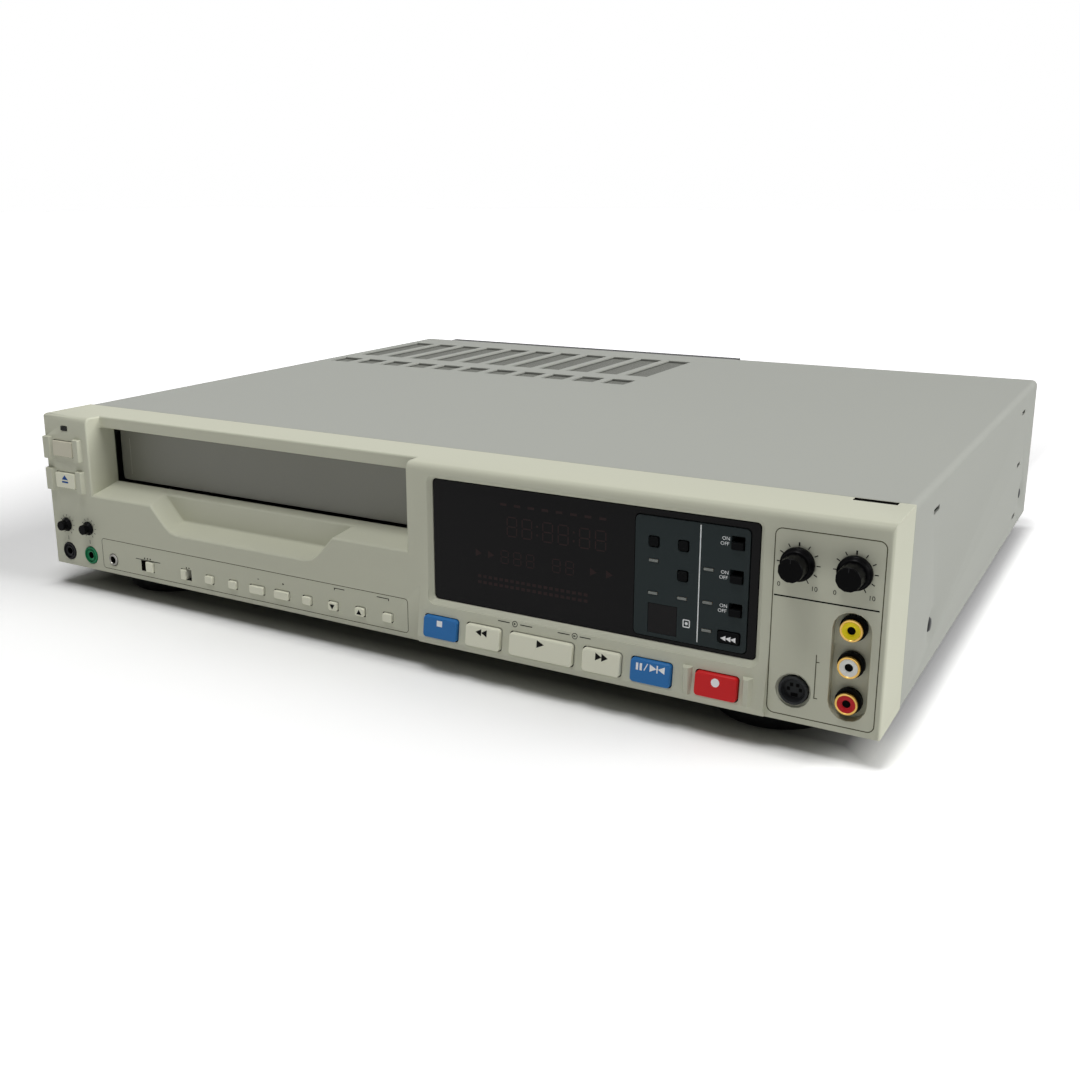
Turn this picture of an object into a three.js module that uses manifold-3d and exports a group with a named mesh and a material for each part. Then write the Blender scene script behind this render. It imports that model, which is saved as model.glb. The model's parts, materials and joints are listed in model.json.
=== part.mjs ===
// A front-loading video cassette recorder for half-inch cassettes, in millimetres, +Z up.
// Pieces are laid out from the front face: X to the right of the middle, Y backwards from
// the face plane, Z up from the underside of the bezel. At the end the whole group is moved
// so that its origin lies under the middle of its outline, on the soles of the feet.
import * as THREE from 'three';
import { mergeVertices } from 'three/addons/utils/BufferGeometryUtils.js';
import Module from 'manifold-3d';

const wasm = await Module();
wasm.setup();

// Driving dimensions
const cassetteWidth = 188;
const cassetteDepth = 104;
const cassetteThickness = 25;
const footHeight = 12;
const bezelDepth = 31.4;
const knobReach = 10;
const rearReach = 17.5;

// From the underside up: the bezel's wall, the pan, room for the flywheel, the deck plate, the
// drop of the loaded cassette, the holder, the cassette's mouth and the roof over it
const bezelSide = 2.2;
const panSheet = 1.2;
const wheelRoom = 16.5;
const deckSheet = 1.6;
const reelRise = 6.7;
const cassetteDrop = 16;
const holderSheet = 1;
const sillPlay = 0.7;
const mouthHeadroom = 4.6;
const roofHeight = 6;

// Across the front, from left to right: the power column, the mouth, a post, the window with
// its switch panel, and the column of the inputs
const columnWidth = 32;
const mouthPlay = 3.75;
const postWidth = 12.5;
const windowWidth = 142.8;
const inputWidth = 47.2;
const mouthWidth = cassetteWidth + 2 * mouthPlay;
const caseWidth = columnWidth + mouthWidth + postWidth + windowWidth + inputWidth;

// From front to back: the mouth, the door, the loaded cassette, the head drum, and the power supply
const mouthDepth = 18;
const doorSetback = 2;
const doorThick = 2;
const loadedInset = 48;
const drumInset = 45;
const drumBase = 33;
const deckEdge = 5;
const supplyGap = 8;
const supplyDepth = 74.5;
const supplyInset = 14;
const doorBack = mouthDepth + doorSetback + doorThick;
const lidY = doorBack + loadedInset + cassetteDepth;
const drumY = lidY + drumInset;
const deckBack = drumY + drumBase + deckEdge;
const supplyY = [deckBack + supplyGap, deckBack + supplyGap + supplyDepth];
const caseDepth = supplyY[1] + supplyInset;

// Clearances and allowances used all over
const seatGap = 0.3;
const keyGap = 0.35;
const pinGap = 0.3;
const overrun = 1;
const weld = 0.1;

const chassisUnder = bezelSide + seatGap;
const chassisTop = chassisUnder + panSheet;
const deckUnder = chassisTop + wheelRoom;
const deckTop = deckUnder + deckSheet;
const ledgeUnder = deckTop + reelRise + cassetteDrop;
const holderFloor = ledgeUnder + holderSheet;
const sillBack = holderFloor - 2 * seatGap - sillPlay;
const slotTop = sillBack + cassetteThickness + mouthHeadroom;
const caseHeight = slotTop + roofHeight;

// Facet counts and the distance within which corners are one point
const cornerSteps = 2;
const turnSteps = 16;
const pinSteps = 8;
const weldDistance = 1e-4;

const halfWidth = caseWidth / 2;

// Solids from three.js geometries, joined and cut

function toSolid(geometry) {
  const bare = geometry.clone();
  bare.deleteAttribute('normal');
  bare.deleteAttribute('uv');
  const merged = mergeVertices(bare, weldDistance);
  const corners = merged.index.array;
  const kept = [];
  for (let i = 0; i < corners.length; i += 3) {
    const [a, b, c] = corners.slice(i, i + 3);
    if (a !== b && b !== c && c !== a) kept.push(a, b, c);
  }
  return new wasm.Manifold(new wasm.Mesh({
    numProp: 3,
    vertProperties: merged.attributes.position.array,
    triVerts: new Uint32Array(kept),
  }));
}

function toGeometry(solid) {
  const mesh = solid.getMesh();
  const geometry = new THREE.BufferGeometry();
  geometry.setAttribute('position', new THREE.BufferAttribute(mesh.vertProperties, 3));
  geometry.setIndex(new THREE.BufferAttribute(mesh.triVerts, 1));
  geometry.computeVertexNormals();
  return geometry;
}

function join(...solids) {
  return solids.flat().reduce((whole, piece) => whole.add(piece));
}

function cut(base, ...tools) {
  return tools.flat().reduce((rest, tool) => rest.subtract(tool), base);
}

function block([x0, x1], [y0, y1], [z0, z1]) {
  const geometry = new THREE.BoxGeometry(x1 - x0, y1 - y0, z1 - z0);
  geometry.translate((x0 + x1) / 2, (y0 + y1) / 2, (z0 + z1) / 2);
  return toSolid(geometry);
}

const unitX = new THREE.Vector3(1, 0, 0);
const unitY = new THREE.Vector3(0, 1, 0);
const unitZ = new THREE.Vector3(0, 0, 1);
const outlineYZ = new THREE.Matrix4().makeBasis(unitY, unitZ, unitX);
const outlineXZ = new THREE.Matrix4().makeBasis(unitX, unitZ, unitY.clone().negate());

function extruded(shape, depth) {
  return new THREE.ExtrudeGeometry(shape, { depth, bevelEnabled: false, curveSegments: cornerSteps });
}

function prismX(shape, [x0, x1]) {
  return toSolid(extruded(shape, x1 - x0).applyMatrix4(outlineYZ).translate(x0, 0, 0));
}

function prismY(shape, [y0, y1]) {
  return toSolid(extruded(shape, y1 - y0).applyMatrix4(outlineXZ).translate(0, y1, 0));
}

function prismZ(shape, [z0, z1]) {
  return toSolid(extruded(shape, z1 - z0).translate(0, 0, z0));
}

function polygon(points) {
  return new THREE.Shape(points.map(([a, b]) => new THREE.Vector2(a, b)));
}

function roundedRect([a0, a1], [b0, b1], radius) {
  const shape = new THREE.Shape();
  shape.moveTo(a0 + radius, b0);
  shape.absarc(a1 - radius, b0 + radius, radius, -Math.PI / 2, 0, false);
  shape.absarc(a1 - radius, b1 - radius, radius, 0, Math.PI / 2, false);
  shape.absarc(a0 + radius, b1 - radius, radius, Math.PI / 2, Math.PI, false);
  shape.absarc(a0 + radius, b0 + radius, radius, Math.PI, 1.5 * Math.PI, false);
  return shape;
}

// A turned piece: its outline gives [radius, distance along the axis], starting and ending
// on the axis, or closed on itself for a ring.
function lathe(outline, steps) {
  return new THREE.LatheGeometry(outline.map(([r, s]) => new THREE.Vector2(r, s)), steps);
}

function turnedX(outline, y, z, steps = turnSteps) {
  return toSolid(lathe(outline, steps).rotateZ(-Math.PI / 2).translate(0, y, z));
}

function turnedY(outline, x, z, steps = turnSteps) {
  return toSolid(lathe(outline, steps).translate(x, 0, z));
}

function turnedZ(outline, x, y, steps = turnSteps) {
  return toSolid(lathe(outline, steps).rotateX(Math.PI / 2).translate(x, y, 0));
}

function rod(radius, [from, to]) {
  return [[0, from], [radius, from], [radius, to], [0, to]];
}

function ring(inner, outer, [from, to]) {
  return [[inner, from], [outer, from], [outer, to], [inner, to], [inner, from]];
}

function around(middle, size) {
  return [middle - size / 2, middle + size / 2];
}

function grown([from, to], margin) {
  return [from - margin, to + margin];
}

function cycle(count, make) {
  return Array.from({ length: count }, (unused, index) => make(index));
}

// Finishes

const finish = {
  bezelPlastic: () => new THREE.MeshStandardMaterial({ color: 0xb9b9a5, roughness: 0.55, metalness: 0 }),
  keyPlastic: () => new THREE.MeshStandardMaterial({ color: 0xc8c8b6, roughness: 0.5, metalness: 0 }),
  bluePlastic: () => new THREE.MeshStandardMaterial({ color: 0x2c64a5, roughness: 0.45, metalness: 0 }),
  redPlastic: () => new THREE.MeshStandardMaterial({ color: 0xb22628, roughness: 0.45, metalness: 0 }),
  blackPlastic: () => new THREE.MeshStandardMaterial({ color: 0x1b1c1d, roughness: 0.5, metalness: 0 }),
  slatePlastic: () => new THREE.MeshStandardMaterial({ color: 0x2a3235, roughness: 0.45, metalness: 0 }),
  greenPlastic: () => new THREE.MeshStandardMaterial({ color: 0x127850, roughness: 0.45, metalness: 0 }),
  smokedWindow: () => new THREE.MeshStandardMaterial({ color: 0x0c0c0d, roughness: 0.12, metalness: 0 }),
  doorPaint: () => new THREE.MeshStandardMaterial({ color: 0x767670, roughness: 0.35, metalness: 0.3 }),
  coverPaint: () => new THREE.MeshStandardMaterial({ color: 0xa5a7a2, roughness: 0.6, metalness: 0.1 }),
  screenGrey: () => new THREE.MeshStandardMaterial({ color: 0x85887f, roughness: 0.8, metalness: 0 }),
  zincSteel: () => new THREE.MeshStandardMaterial({ color: 0xa8aaab, roughness: 0.4, metalness: 0.9 }),
  screwSteel: () => new THREE.MeshStandardMaterial({ color: 0x8d8f90, roughness: 0.35, metalness: 0.9 }),
  gold: () => new THREE.MeshStandardMaterial({ color: 0xd2aa4a, roughness: 0.25, metalness: 1 }),
  aluminium: () => new THREE.MeshStandardMaterial({ color: 0xc4c6c8, roughness: 0.25, metalness: 1 }),
  rubber: () => new THREE.MeshStandardMaterial({ color: 0x151515, roughness: 0.85, metalness: 0 }),
  boardGreen: () => new THREE.MeshStandardMaterial({ color: 0x2f5a3a, roughness: 0.6, metalness: 0 }),
  boardBrown: () => new THREE.MeshStandardMaterial({ color: 0x8a6a3c, roughness: 0.6, metalness: 0 }),
  whitePlastic: () => new THREE.MeshStandardMaterial({ color: 0xd8d8d0, roughness: 0.5, metalness: 0 }),
};

const recorder = new THREE.Group();

function piece(name, solid, material) {
  const mesh = new THREE.Mesh(toGeometry(solid), material());
  mesh.name = name;
  recorder.add(mesh);
}

// Bezel body: a moulded tray, open at the back

const bezel = { wall: 2.8, topRound: 3, sideRound: 1.5, lowRound: 0.6 };
const wallBack = bezel.wall;
const bezelInnerTop = caseHeight - bezelSide;

function bezelBody() {
  const profile = new THREE.Shape();
  profile.moveTo(bezelDepth, 0);
  profile.lineTo(bezelDepth, caseHeight);
  profile.absarc(bezel.topRound, caseHeight - bezel.topRound, bezel.topRound, Math.PI / 2, Math.PI, false);
  profile.absarc(bezel.lowRound, bezel.lowRound, bezel.lowRound, Math.PI, 1.5 * Math.PI, false);
  const plan = new THREE.Shape();
  const cornerX = halfWidth - bezel.sideRound;
  plan.moveTo(halfWidth, bezelDepth);
  plan.lineTo(-halfWidth, bezelDepth);
  plan.absarc(-cornerX, bezel.sideRound, bezel.sideRound, Math.PI, 1.5 * Math.PI, false);
  plan.absarc(cornerX, bezel.sideRound, bezel.sideRound, 1.5 * Math.PI, 2 * Math.PI, false);
  const outside = prismX(profile, [-halfWidth, halfWidth]).intersect(prismZ(plan, [0, caseHeight]));
  const inside = block(
    grown([-halfWidth, halfWidth], -bezelSide),
    [wallBack, bezelDepth + overrun],
    [bezelSide, bezelInnerTop],
  );
  return cut(outside, inside);
}

// Cassette recess: a tunnel whose sill rises to the door and whose roof is set back

const slot = { wall: 2, sillRise: 4.2, roofSetback: 9 };
const slotLeft = -halfWidth + columnWidth;
const slotRight = slotLeft + mouthWidth;
const slotMiddle = (slotLeft + slotRight) / 2;
const sillFront = sillBack - slot.sillRise;

function slotTunnel() {
  return block(
    grown([slotLeft, slotRight], slot.wall),
    [bezel.wall / 2, mouthDepth],
    [sillFront - slot.wall, caseHeight - bezel.topRound / 2],
  );
}

function slotOpening() {
  const rise = slot.sillRise / mouthDepth;
  const profile = polygon([
    [-overrun, sillFront],
    [0, sillFront],
    [mouthDepth + overrun, sillBack + rise * overrun],
    [mouthDepth + overrun, slotTop],
    [slot.roofSetback, slotTop],
    [slot.roofSetback, caseHeight + overrun],
    [-overrun, caseHeight + overrun],
  ]);
  return prismX(profile, [slotLeft, slotRight]);
}

// Finger well in the middle of the sill, with slanting ends and a floor that falls forwards

const well = { depth: 12.5, drop: 12.8, floorRise: 3.2, wall: 2, corner: 4 };
const wellHalfShares = { top: 0.289, bottom: 0.228 };

function wellShape(margin) {
  const topHalf = wellHalfShares.top * mouthWidth + margin;
  const bottomHalf = wellHalfShares.bottom * mouthWidth + margin;
  const low = sillFront - well.drop - margin;
  const lean = (topHalf - bottomHalf) / (sillFront - low);
  const high = sillFront + (margin ? 0 : slot.sillRise + overrun);
  const highHalf = bottomHalf + lean * (high - low);
  const cornerHalf = bottomHalf + lean * well.corner;
  const shape = new THREE.Shape();
  shape.moveTo(slotMiddle + bottomHalf - well.corner, low);
  shape.quadraticCurveTo(slotMiddle + bottomHalf, low, slotMiddle + cornerHalf, low + well.corner);
  shape.lineTo(slotMiddle + highHalf, high);
  shape.lineTo(slotMiddle - highHalf, high);
  shape.lineTo(slotMiddle - cornerHalf, low + well.corner);
  shape.quadraticCurveTo(slotMiddle - bottomHalf, low, slotMiddle - bottomHalf + well.corner, low);
  return shape;
}

function wellShell() {
  return prismY(wellShape(well.wall), [bezel.wall / 2, well.depth + well.wall]);
}

function wellOpening() {
  const rise = well.floorRise / well.depth;
  const low = sillFront - well.drop;
  const aboveFloor = prismX(polygon([
    [-overrun, low - rise * overrun],
    [well.depth, low + well.floorRise],
    [well.depth, sillBack + 2 * overrun],
    [-overrun, sillBack + 2 * overrun],
  ]), [slotLeft, slotRight]);
  return prismY(wellShape(0), [-overrun, well.depth]).intersect(aboveFloor);
}

// Door ears: the tunnel's side walls run back over the door's hinge pins

const door = {
  sidePlay: 2.2, pinRadius: 1, pinReach: 3.9, headroom: 2.6, above: 1.3, corner: 2.5,
};
const doorFront = mouthDepth + doorSetback;
const hingeY = doorFront + doorThick / 2;
const hingeZ = bezelInnerTop - door.headroom;
const ear = { back: 3.5, drop: 3.5 };

function doorEars() {
  const sides = [[slotLeft - slot.wall, slotLeft], [slotRight, slotRight + slot.wall]];
  const bore = turnedX(
    rod(door.pinRadius + pinGap, [slotLeft - slot.wall - overrun, slotRight + slot.wall + overrun]),
    hingeY, hingeZ, pinSteps,
  );
  const plates = sides.map((x) => block(
    x,
    [mouthDepth - overrun, hingeY + ear.back],
    [hingeZ - ear.drop, caseHeight - bezelSide / 2],
  ));
  return cut(join(plates), bore);
}

// Raised key zone: swells forwards towards the bottom under the window

const windowLeft = slotRight + postWidth;
const windowRight = halfWidth - inputWidth;
const keyZone = { top: 26, swell: 2.8, crest: 3.5, tuck: 1.2, leftInset: 6.5, rightReach: 5.2 };
const keyZoneLeft = windowLeft - keyZone.leftInset;
const keyZoneRight = windowRight + keyZone.rightReach;
const keySlope = keyZone.swell / (keyZone.top - keyZone.crest);

function zoneFace(z) {
  return -keySlope * (keyZone.top - Math.max(z, keyZone.crest));
}

function keyZoneSwell() {
  const profile = polygon([
    [wallBack, bezelSide / 2],
    [wallBack, keyZone.top],
    [0, keyZone.top],
    [-keyZone.swell, keyZone.crest],
    [keyZone.tuck - keyZone.swell, keyZone.tuck / 2],
    [keyZone.tuck, 0],
    [wallBack, 0],
  ]);
  return prismX(profile, [keyZoneLeft, keyZoneRight]);
}

// Window: a smoked plate recessed behind a bevelled frame, with the slate switch panel in it

const pane = {
  bottom: 20.4, topInset: 6.2, setback: 2, bevel: 1.8, corner: 1.8,
  back: 4.6, lip: 2,
};
const windowTop = caseHeight - pane.topInset;
const windowX = [windowLeft, windowRight];
const windowZ = [pane.bottom, windowTop];
const panel = {
  width: 45.6, rightInset: 3.9, lowInset: 1.9, highInset: 3, proud: 0.4,
  thick: 4.8, lip: 1.4, corner: 2,
};
const panelX = [windowRight - panel.rightInset - panel.width, windowRight - panel.rightInset];
const panelZ = [pane.bottom + panel.lowInset, windowTop - panel.highInset];
const panelFront = pane.setback - panel.proud;
const panelBack = panelFront + panel.thick;

function windowOpening() {
  const frame = new THREE.ExtrudeGeometry(roundedRect(windowX, windowZ, pane.corner), {
    depth: overrun,
    bevelEnabled: true,
    bevelThickness: pane.setback,
    bevelSize: pane.bevel,
    bevelSegments: 1,
    curveSegments: cornerSteps,
  });
  const bevelled = toSolid(frame.applyMatrix4(outlineXZ));
  const through = prismY(roundedRect(windowX, windowZ, pane.corner), [-overrun, wallBack + overrun]);
  return join(bevelled, through);
}

function displayWindow() {
  const corner = pane.corner;
  const plate = prismY(
    roundedRect(grown(windowX, -seatGap), grown(windowZ, -seatGap), corner),
    [pane.setback, pane.back],
  );
  const rim = prismY(
    roundedRect(grown(windowX, pane.lip), grown(windowZ, pane.lip), corner),
    [wallBack + seatGap, pane.back],
  );
  const panelHole = prismY(
    roundedRect(grown(panelX, seatGap), grown(panelZ, seatGap), panel.corner),
    [pane.setback - overrun, pane.back + overrun],
  );
  return cut(join(plate, rim), panelHole);
}

// Keys: each row of the table gives the place, the size and which face the key stands in

const travel = { large: 1.2, small: 0.8 };
const largeKey = { proud: 1.8, corner: 1.5 };
const smallKey = { proud: 1.3, corner: 0.8, width: 5, wide: 8.7, height: 3.9 };
const panelKey = { proud: 0.5, corner: 0.8, width: 3.8, height: 3.8, wide: 8.4, low: 4.4 };
const flange = { lip: 0.8, thick: 1 };

const columnKey = { width: 14.4, height: 8, powerDrop: 17.1, ejectDrop: 33.7, sideInset: 14.2 };
const columnX = -halfWidth + columnKey.sideInset;
const powerZ = caseHeight - columnKey.powerDrop;
const ejectZ = caseHeight - columnKey.ejectDrop;

const transport = { bottom: 4.6, height: 9.4, gap: 4.3, recordGap: 9.7, leftInset: 2.55, rightInset: 4.8 };
const transportNames = ['stop', 'rewind', 'play', 'fast_forward', 'pause', 'record'];
const transportShares = [0.1488, 0.1488, 0.258, 0.1471, 0.1488, 0.1485];
const transportLeft = windowLeft - transport.leftInset;
const transportRight = windowRight - transport.rightInset;
const transportZ = transport.bottom + transport.height / 2;

const rowZ = 7.9;
const rowShares = { control: 0.0588, mode: 0.1852, format: 0.3205, start: 0.4003, pitch: 0.0775 };
const rowPitch = rowShares.pitch * mouthWidth;
const rowStart = slotLeft + rowShares.start * mouthWidth;
const rowNames = [
  'timer', 'quick_timer', 'channel_down', 'channel_up', 'antenna',
  'tracking_down', 'tracking_up', 'auto_manual',
];

const panelKeyShares = {
  input_select: [0.171, 0.795],
  rec_mode: [0.434, 0.795],
  edit: [0.434, 0.549],
  fast_rewind: [0.852, 0.112],
};

function transportKeys() {
  const gaps = transport.gap * (transportNames.length - 2) + transport.recordGap;
  const run = transportRight - transportLeft - gaps;
  const colours = {
    stop: finish.bluePlastic, pause: finish.bluePlastic, record: finish.redPlastic,
  };
  let left = transportLeft;
  return transportNames.map((name, index) => {
    const width = transportShares[index] * run;
    const key = {
      name, x: left + width / 2, z: transportZ, width, height: transport.height, face: 'zone',
      style: largeKey, travel: travel.large, material: colours[name] ?? finish.keyPlastic,
    };
    left += width + (name === 'pause' ? transport.recordGap : transport.gap);
    return key;
  });
}

function columnKeys() {
  return [['power', powerZ], ['eject', ejectZ]].map(([name, z]) => ({
    name, x: columnX, z, width: columnKey.width, height: columnKey.height, face: 'flat',
    style: smallKey, travel: travel.large, material: finish.keyPlastic,
  }));
}

function rowKeys() {
  return rowNames.map((name, index) => ({
    name,
    x: rowStart + index * rowPitch,
    z: rowZ,
    width: name.startsWith('channel') ? smallKey.wide : smallKey.width,
    height: smallKey.height,
    face: 'flat',
    style: smallKey,
    travel: travel.small,
    material: finish.keyPlastic,
  }));
}

function panelKeys() {
  return Object.entries(panelKeyShares).map(([name, [acrossShare, upShare]]) => ({
    name,
    x: THREE.MathUtils.lerp(...panelX, acrossShare),
    z: THREE.MathUtils.lerp(...panelZ, upShare),
    width: name === 'fast_rewind' ? panelKey.wide : panelKey.width,
    height: name === 'fast_rewind' ? panelKey.low : panelKey.height,
    face: 'panel',
    style: panelKey,
    travel: travel.small,
    material: finish.slatePlastic,
  }));
}

const keys = [...columnKeys(), ...rowKeys(), ...transportKeys(), ...panelKeys()];

function frontOf(key) {
  return { flat: 0, zone: zoneFace(key.z), panel: panelFront }[key.face];
}

function wallBehind(key) {
  return key.face === 'panel' ? panelBack : wallBack;
}

function keyOpening(key) {
  const outline = roundedRect(
    grown(around(key.x, key.width), keyGap),
    grown(around(key.z, key.height), keyGap),
    key.style.corner,
  );
  return prismY(outline, [-keyZone.swell - overrun, panelBack + overrun]);
}

// Boards behind the front: one carries the display tube, the other the left-hand controls

const board = { front: 15, thick: 1.6, inset: 3.5, rightStart: 18, lowTop: 23.6 };
const keySwitch = { width: 6, height: 4.6, thick: 3.5 };
const switchFront = board.front - keySwitch.thick;

function keyCap(key) {
  const back = wallBehind(key) + seatGap + flange.thick;
  const x = around(key.x, key.width);
  const z = around(key.z, key.height);
  const front = frontOf(key) - key.style.proud;
  if (key.face !== 'zone') return prismY(roundedRect(x, z, key.style.corner), [front, back]);
  const lowFace = zoneFace(z[0]) - key.style.proud;
  const highFace = zoneFace(z[1]) - key.style.proud;
  const slanted = prismX(polygon([[back, z[0]], [back, z[1]], [highFace, z[1]], [lowFace, z[0]]]), x);
  return slanted.intersect(prismY(roundedRect(x, z, key.style.corner), [lowFace - overrun, back]));
}

function keySolid(key) {
  const flangeFront = wallBehind(key) + seatGap;
  const lip = block(
    grown(around(key.x, key.width), flange.lip),
    [flangeFront, flangeFront + flange.thick],
    grown(around(key.z, key.height), flange.lip),
  );
  const stemSize = Math.min(key.width, key.height) / 2;
  const stem = block(
    around(key.x, stemSize),
    [flangeFront, switchFront - key.travel - seatGap],
    around(key.z, stemSize),
  );
  return join(keyCap(key), lip, stem);
}

// Slide switches: two under the cassette recess slide sideways, three in the panel up and down

const slider = { gap: 0.3, proud: 1, flange: 0.8, thick: 1 };
const modeSlider = {
  name: 'command_mode', width: 5, height: 5, throwHalf: 1.75, sideways: true, restShare: 1,
};
const formatSlider = {
  name: 'tape_format', width: 3.4, height: 5, throwHalf: 1.4, sideways: true, restShare: -1,
};
const panelSlider = { width: 4.6, height: 2.6, throwHalf: 1, sideways: false, restShare: -1 };
const panelSliderShares = {
  power_on_play: [0.898, 0.88],
  auto_repeat: [0.898, 0.611],
  key_inhibit: [0.898, 0.342],
};
const sliders = [
  ...[
    { ...modeSlider, x: slotLeft + rowShares.mode * mouthWidth },
    { ...formatSlider, x: slotLeft + rowShares.format * mouthWidth },
  ].map((item) => ({ ...item, z: rowZ, front: 0, back: wallBack, material: finish.keyPlastic })),
  ...Object.entries(panelSliderShares).map(([name, [acrossShare, upShare]]) => ({
    ...panelSlider,
    name,
    x: THREE.MathUtils.lerp(...panelX, acrossShare),
    z: THREE.MathUtils.lerp(...panelZ, upShare),
    front: panelFront,
    back: panelBack,
    material: finish.blackPlastic,
  })),
];

function sliderOpening(item) {
  const across = item.width + 2 * slider.gap + (item.sideways ? 2 * item.throwHalf : 0);
  const up = item.height + 2 * slider.gap + (item.sideways ? 0 : 2 * item.throwHalf);
  return block(around(item.x, across), [-overrun, item.back + overrun], around(item.z, up));
}

function sliderKnob(item) {
  const shift = item.restShare * item.throwHalf;
  const x = item.x + (item.sideways ? shift : 0);
  const z = item.z + (item.sideways ? 0 : shift);
  const flangeY = [item.back + slider.gap, item.back + slider.gap + slider.thick];
  const reach = slider.flange + item.throwHalf;
  const knob = block(around(x, item.width), [item.front - slider.proud, flangeY[1]], around(z, item.height));
  const skirt = block(
    grown(around(x, item.width), item.sideways ? reach : slider.flange),
    flangeY,
    grown(around(z, item.height), item.sideways ? slider.flange : reach),
  );
  return join(knob, skirt);
}

// Ribs that guard the power, eject and record keys

const guard = {
  proud: 2.1, slope: 1, width: 5.7, gap: 0.6, above: 1.7,
  recordWidth: 3.8, recordGap: 1.5, recordAbove: 0.8,
};

function rib(x, z, face) {
  const crest = [x[0] + guard.slope, x[1] - guard.slope];
  const outline = polygon([[x[0], overrun], [x[1], overrun], [x[1], face], [crest[1], face - guard.proud],
    [crest[0], face - guard.proud], [x[0], face]]);
  return prismZ(outline, z);
}

function guards() {
  const ribs = [];
  for (const z of [powerZ, ejectZ]) {
    const high = grown(around(z, columnKey.height), guard.above);
    const offset = columnKey.width / 2 + guard.gap;
    ribs.push(rib([columnX + offset, columnX + offset + guard.width], high, 0));
    ribs.push(rib([-halfWidth, columnX - offset], high, 0));
  }
  const record = keys.find((key) => key.name === 'record');
  const high = grown(around(record.z, record.height), guard.recordAbove);
  const face = zoneFace(record.z);
  const offset = record.width / 2 + guard.recordGap;
  ribs.push(rib([record.x - offset - guard.recordWidth, record.x - offset], high, face));
  ribs.push(rib([record.x + offset, record.x + offset + guard.recordWidth], high, face));
  return join(ribs);
}

// Headphone corner: two small knobs over two small sockets, and the control socket beside them

const earCorner = {
  micInset: 11, pitch: 16.1, knobZ: 22.1, jackZ: 7.6,
  jackRadius: 4.5, controlRadius: 3, boreRadius: 1.8, jackProud: 0.5, bodyBack: 13, bodyRadius: 4,
};
const micX = -halfWidth + earCorner.micInset;
const phonesX = micX + earCorner.pitch;
const controlX = slotLeft + rowShares.control * mouthWidth;
const miniJacks = [
  { name: 'mic_jack', x: micX, radius: earCorner.jackRadius, material: finish.blackPlastic },
  { name: 'phones_jack', x: phonesX, radius: earCorner.jackRadius, material: finish.greenPlastic },
  { name: 'control_jack', x: controlX, radius: earCorner.controlRadius, material: finish.screwSteel },
];

function miniJack({ x, radius }) {
  const bodyRadius = Math.min(radius, earCorner.bodyRadius);
  const outside = [
    [0, -earCorner.jackProud], [radius, -earCorner.jackProud],
    [radius, wallBack / 2], [bodyRadius, wallBack / 2],
    [bodyRadius, earCorner.bodyBack], [0, earCorner.bodyBack],
  ];
  const bore = rod(earCorner.boreRadius, [-earCorner.jackProud - overrun, earCorner.bodyBack - overrun]);
  return cut(
    turnedY(outside, x, earCorner.jackZ),
    turnedY(bore, x, earCorner.jackZ, pinSteps),
  );
}

function miniJackHoles() {
  return miniJacks.map(({ x, radius }) => {
    const bodyRadius = Math.min(radius, earCorner.bodyRadius);
    const outline = [
      [0, -overrun], [radius + seatGap, -overrun], [radius + seatGap, wallBack / 2 + seatGap],
      [bodyRadius + seatGap, wallBack / 2 + seatGap], [bodyRadius + seatGap, wallBack + overrun],
      [0, wallBack + overrun],
    ];
    return turnedY(outline, x, earCorner.jackZ);
  });
}

// Rotary knobs on their shafts

const smallKnob = { skirt: 3.65, cap: 2.85, tip: 2.4, proud: 4.6, step: 1, shaft: 1.5 };
const levelKnob = { skirt: 6.3, cap: 4.75, tip: 4.5, proud: knobReach, step: 2.6, shaft: 3 };
const levelPlace = { outerInset: 12.5, pitch: 20.2, drop: 18.6 };
const levelZ = caseHeight - levelPlace.drop;
const outerLevelX = halfWidth - levelPlace.outerInset;
const pot = { front: 6, radiusShare: 2.2, shaftBack: 12, pointer: 0.5 };
const knobs = [
  { name: 'mic_level_knob', x: micX, z: earCorner.knobZ, ...smallKnob },
  { name: 'phones_level_knob', x: phonesX, z: earCorner.knobZ, ...smallKnob },
  { name: 'rec_level_left_knob', x: outerLevelX - levelPlace.pitch, z: levelZ, ...levelKnob },
  { name: 'rec_level_right_knob', x: outerLevelX, z: levelZ, ...levelKnob },
];

function knobHole(knob) {
  return turnedY(rod(knob.shaft + pinGap, [-overrun, wallBack + overrun]), knob.x, knob.z, pinSteps);
}

function knobSolid(knob) {
  const outside = [
    [0, -knob.proud], [knob.tip, -knob.proud], [knob.cap, -knob.step],
    [knob.skirt, -knob.step], [knob.skirt, -seatGap],
    [knob.shaft, -seatGap], [knob.shaft, pot.shaftBack], [0, pot.shaftBack],
  ];
  const pointer = block(
    around(knob.x, pot.pointer),
    [-knob.proud - overrun, pot.pointer - knob.proud],
    [knob.z + knob.tip / 2, knob.z + knob.skirt],
  );
  return cut(turnedY(outside, knob.x, knob.z), pointer);
}

// Line input: three phono sockets in a deep oblong, and the round video socket beside them

const line = {
  inset: 12.3, width: 13.8, bottom: 5.2, high: 46.1, depth: 4, wall: 2, sideInset: 12.6,
  lowJackZ: 12.1, pitch: 13.9, jacks: 3,
};
const lineX = halfWidth - line.inset;
const jackX = halfWidth - line.sideInset + seatGap;
const phono = {
  flange: 4.9, flangeThick: 1.2, barrel: 3.6, lipRadius: 4.15, lip: 1.3, reach: 5.3,
  insert: 2.9, insertBack: 2.4, bore: 1.5, boreDepth: 6.5, tail: 3, tailBack: 10.1,
};
const lineFloor = line.depth;
const jackZs = cycle(line.jacks, (index) => line.lowJackZ + index * line.pitch);

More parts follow.
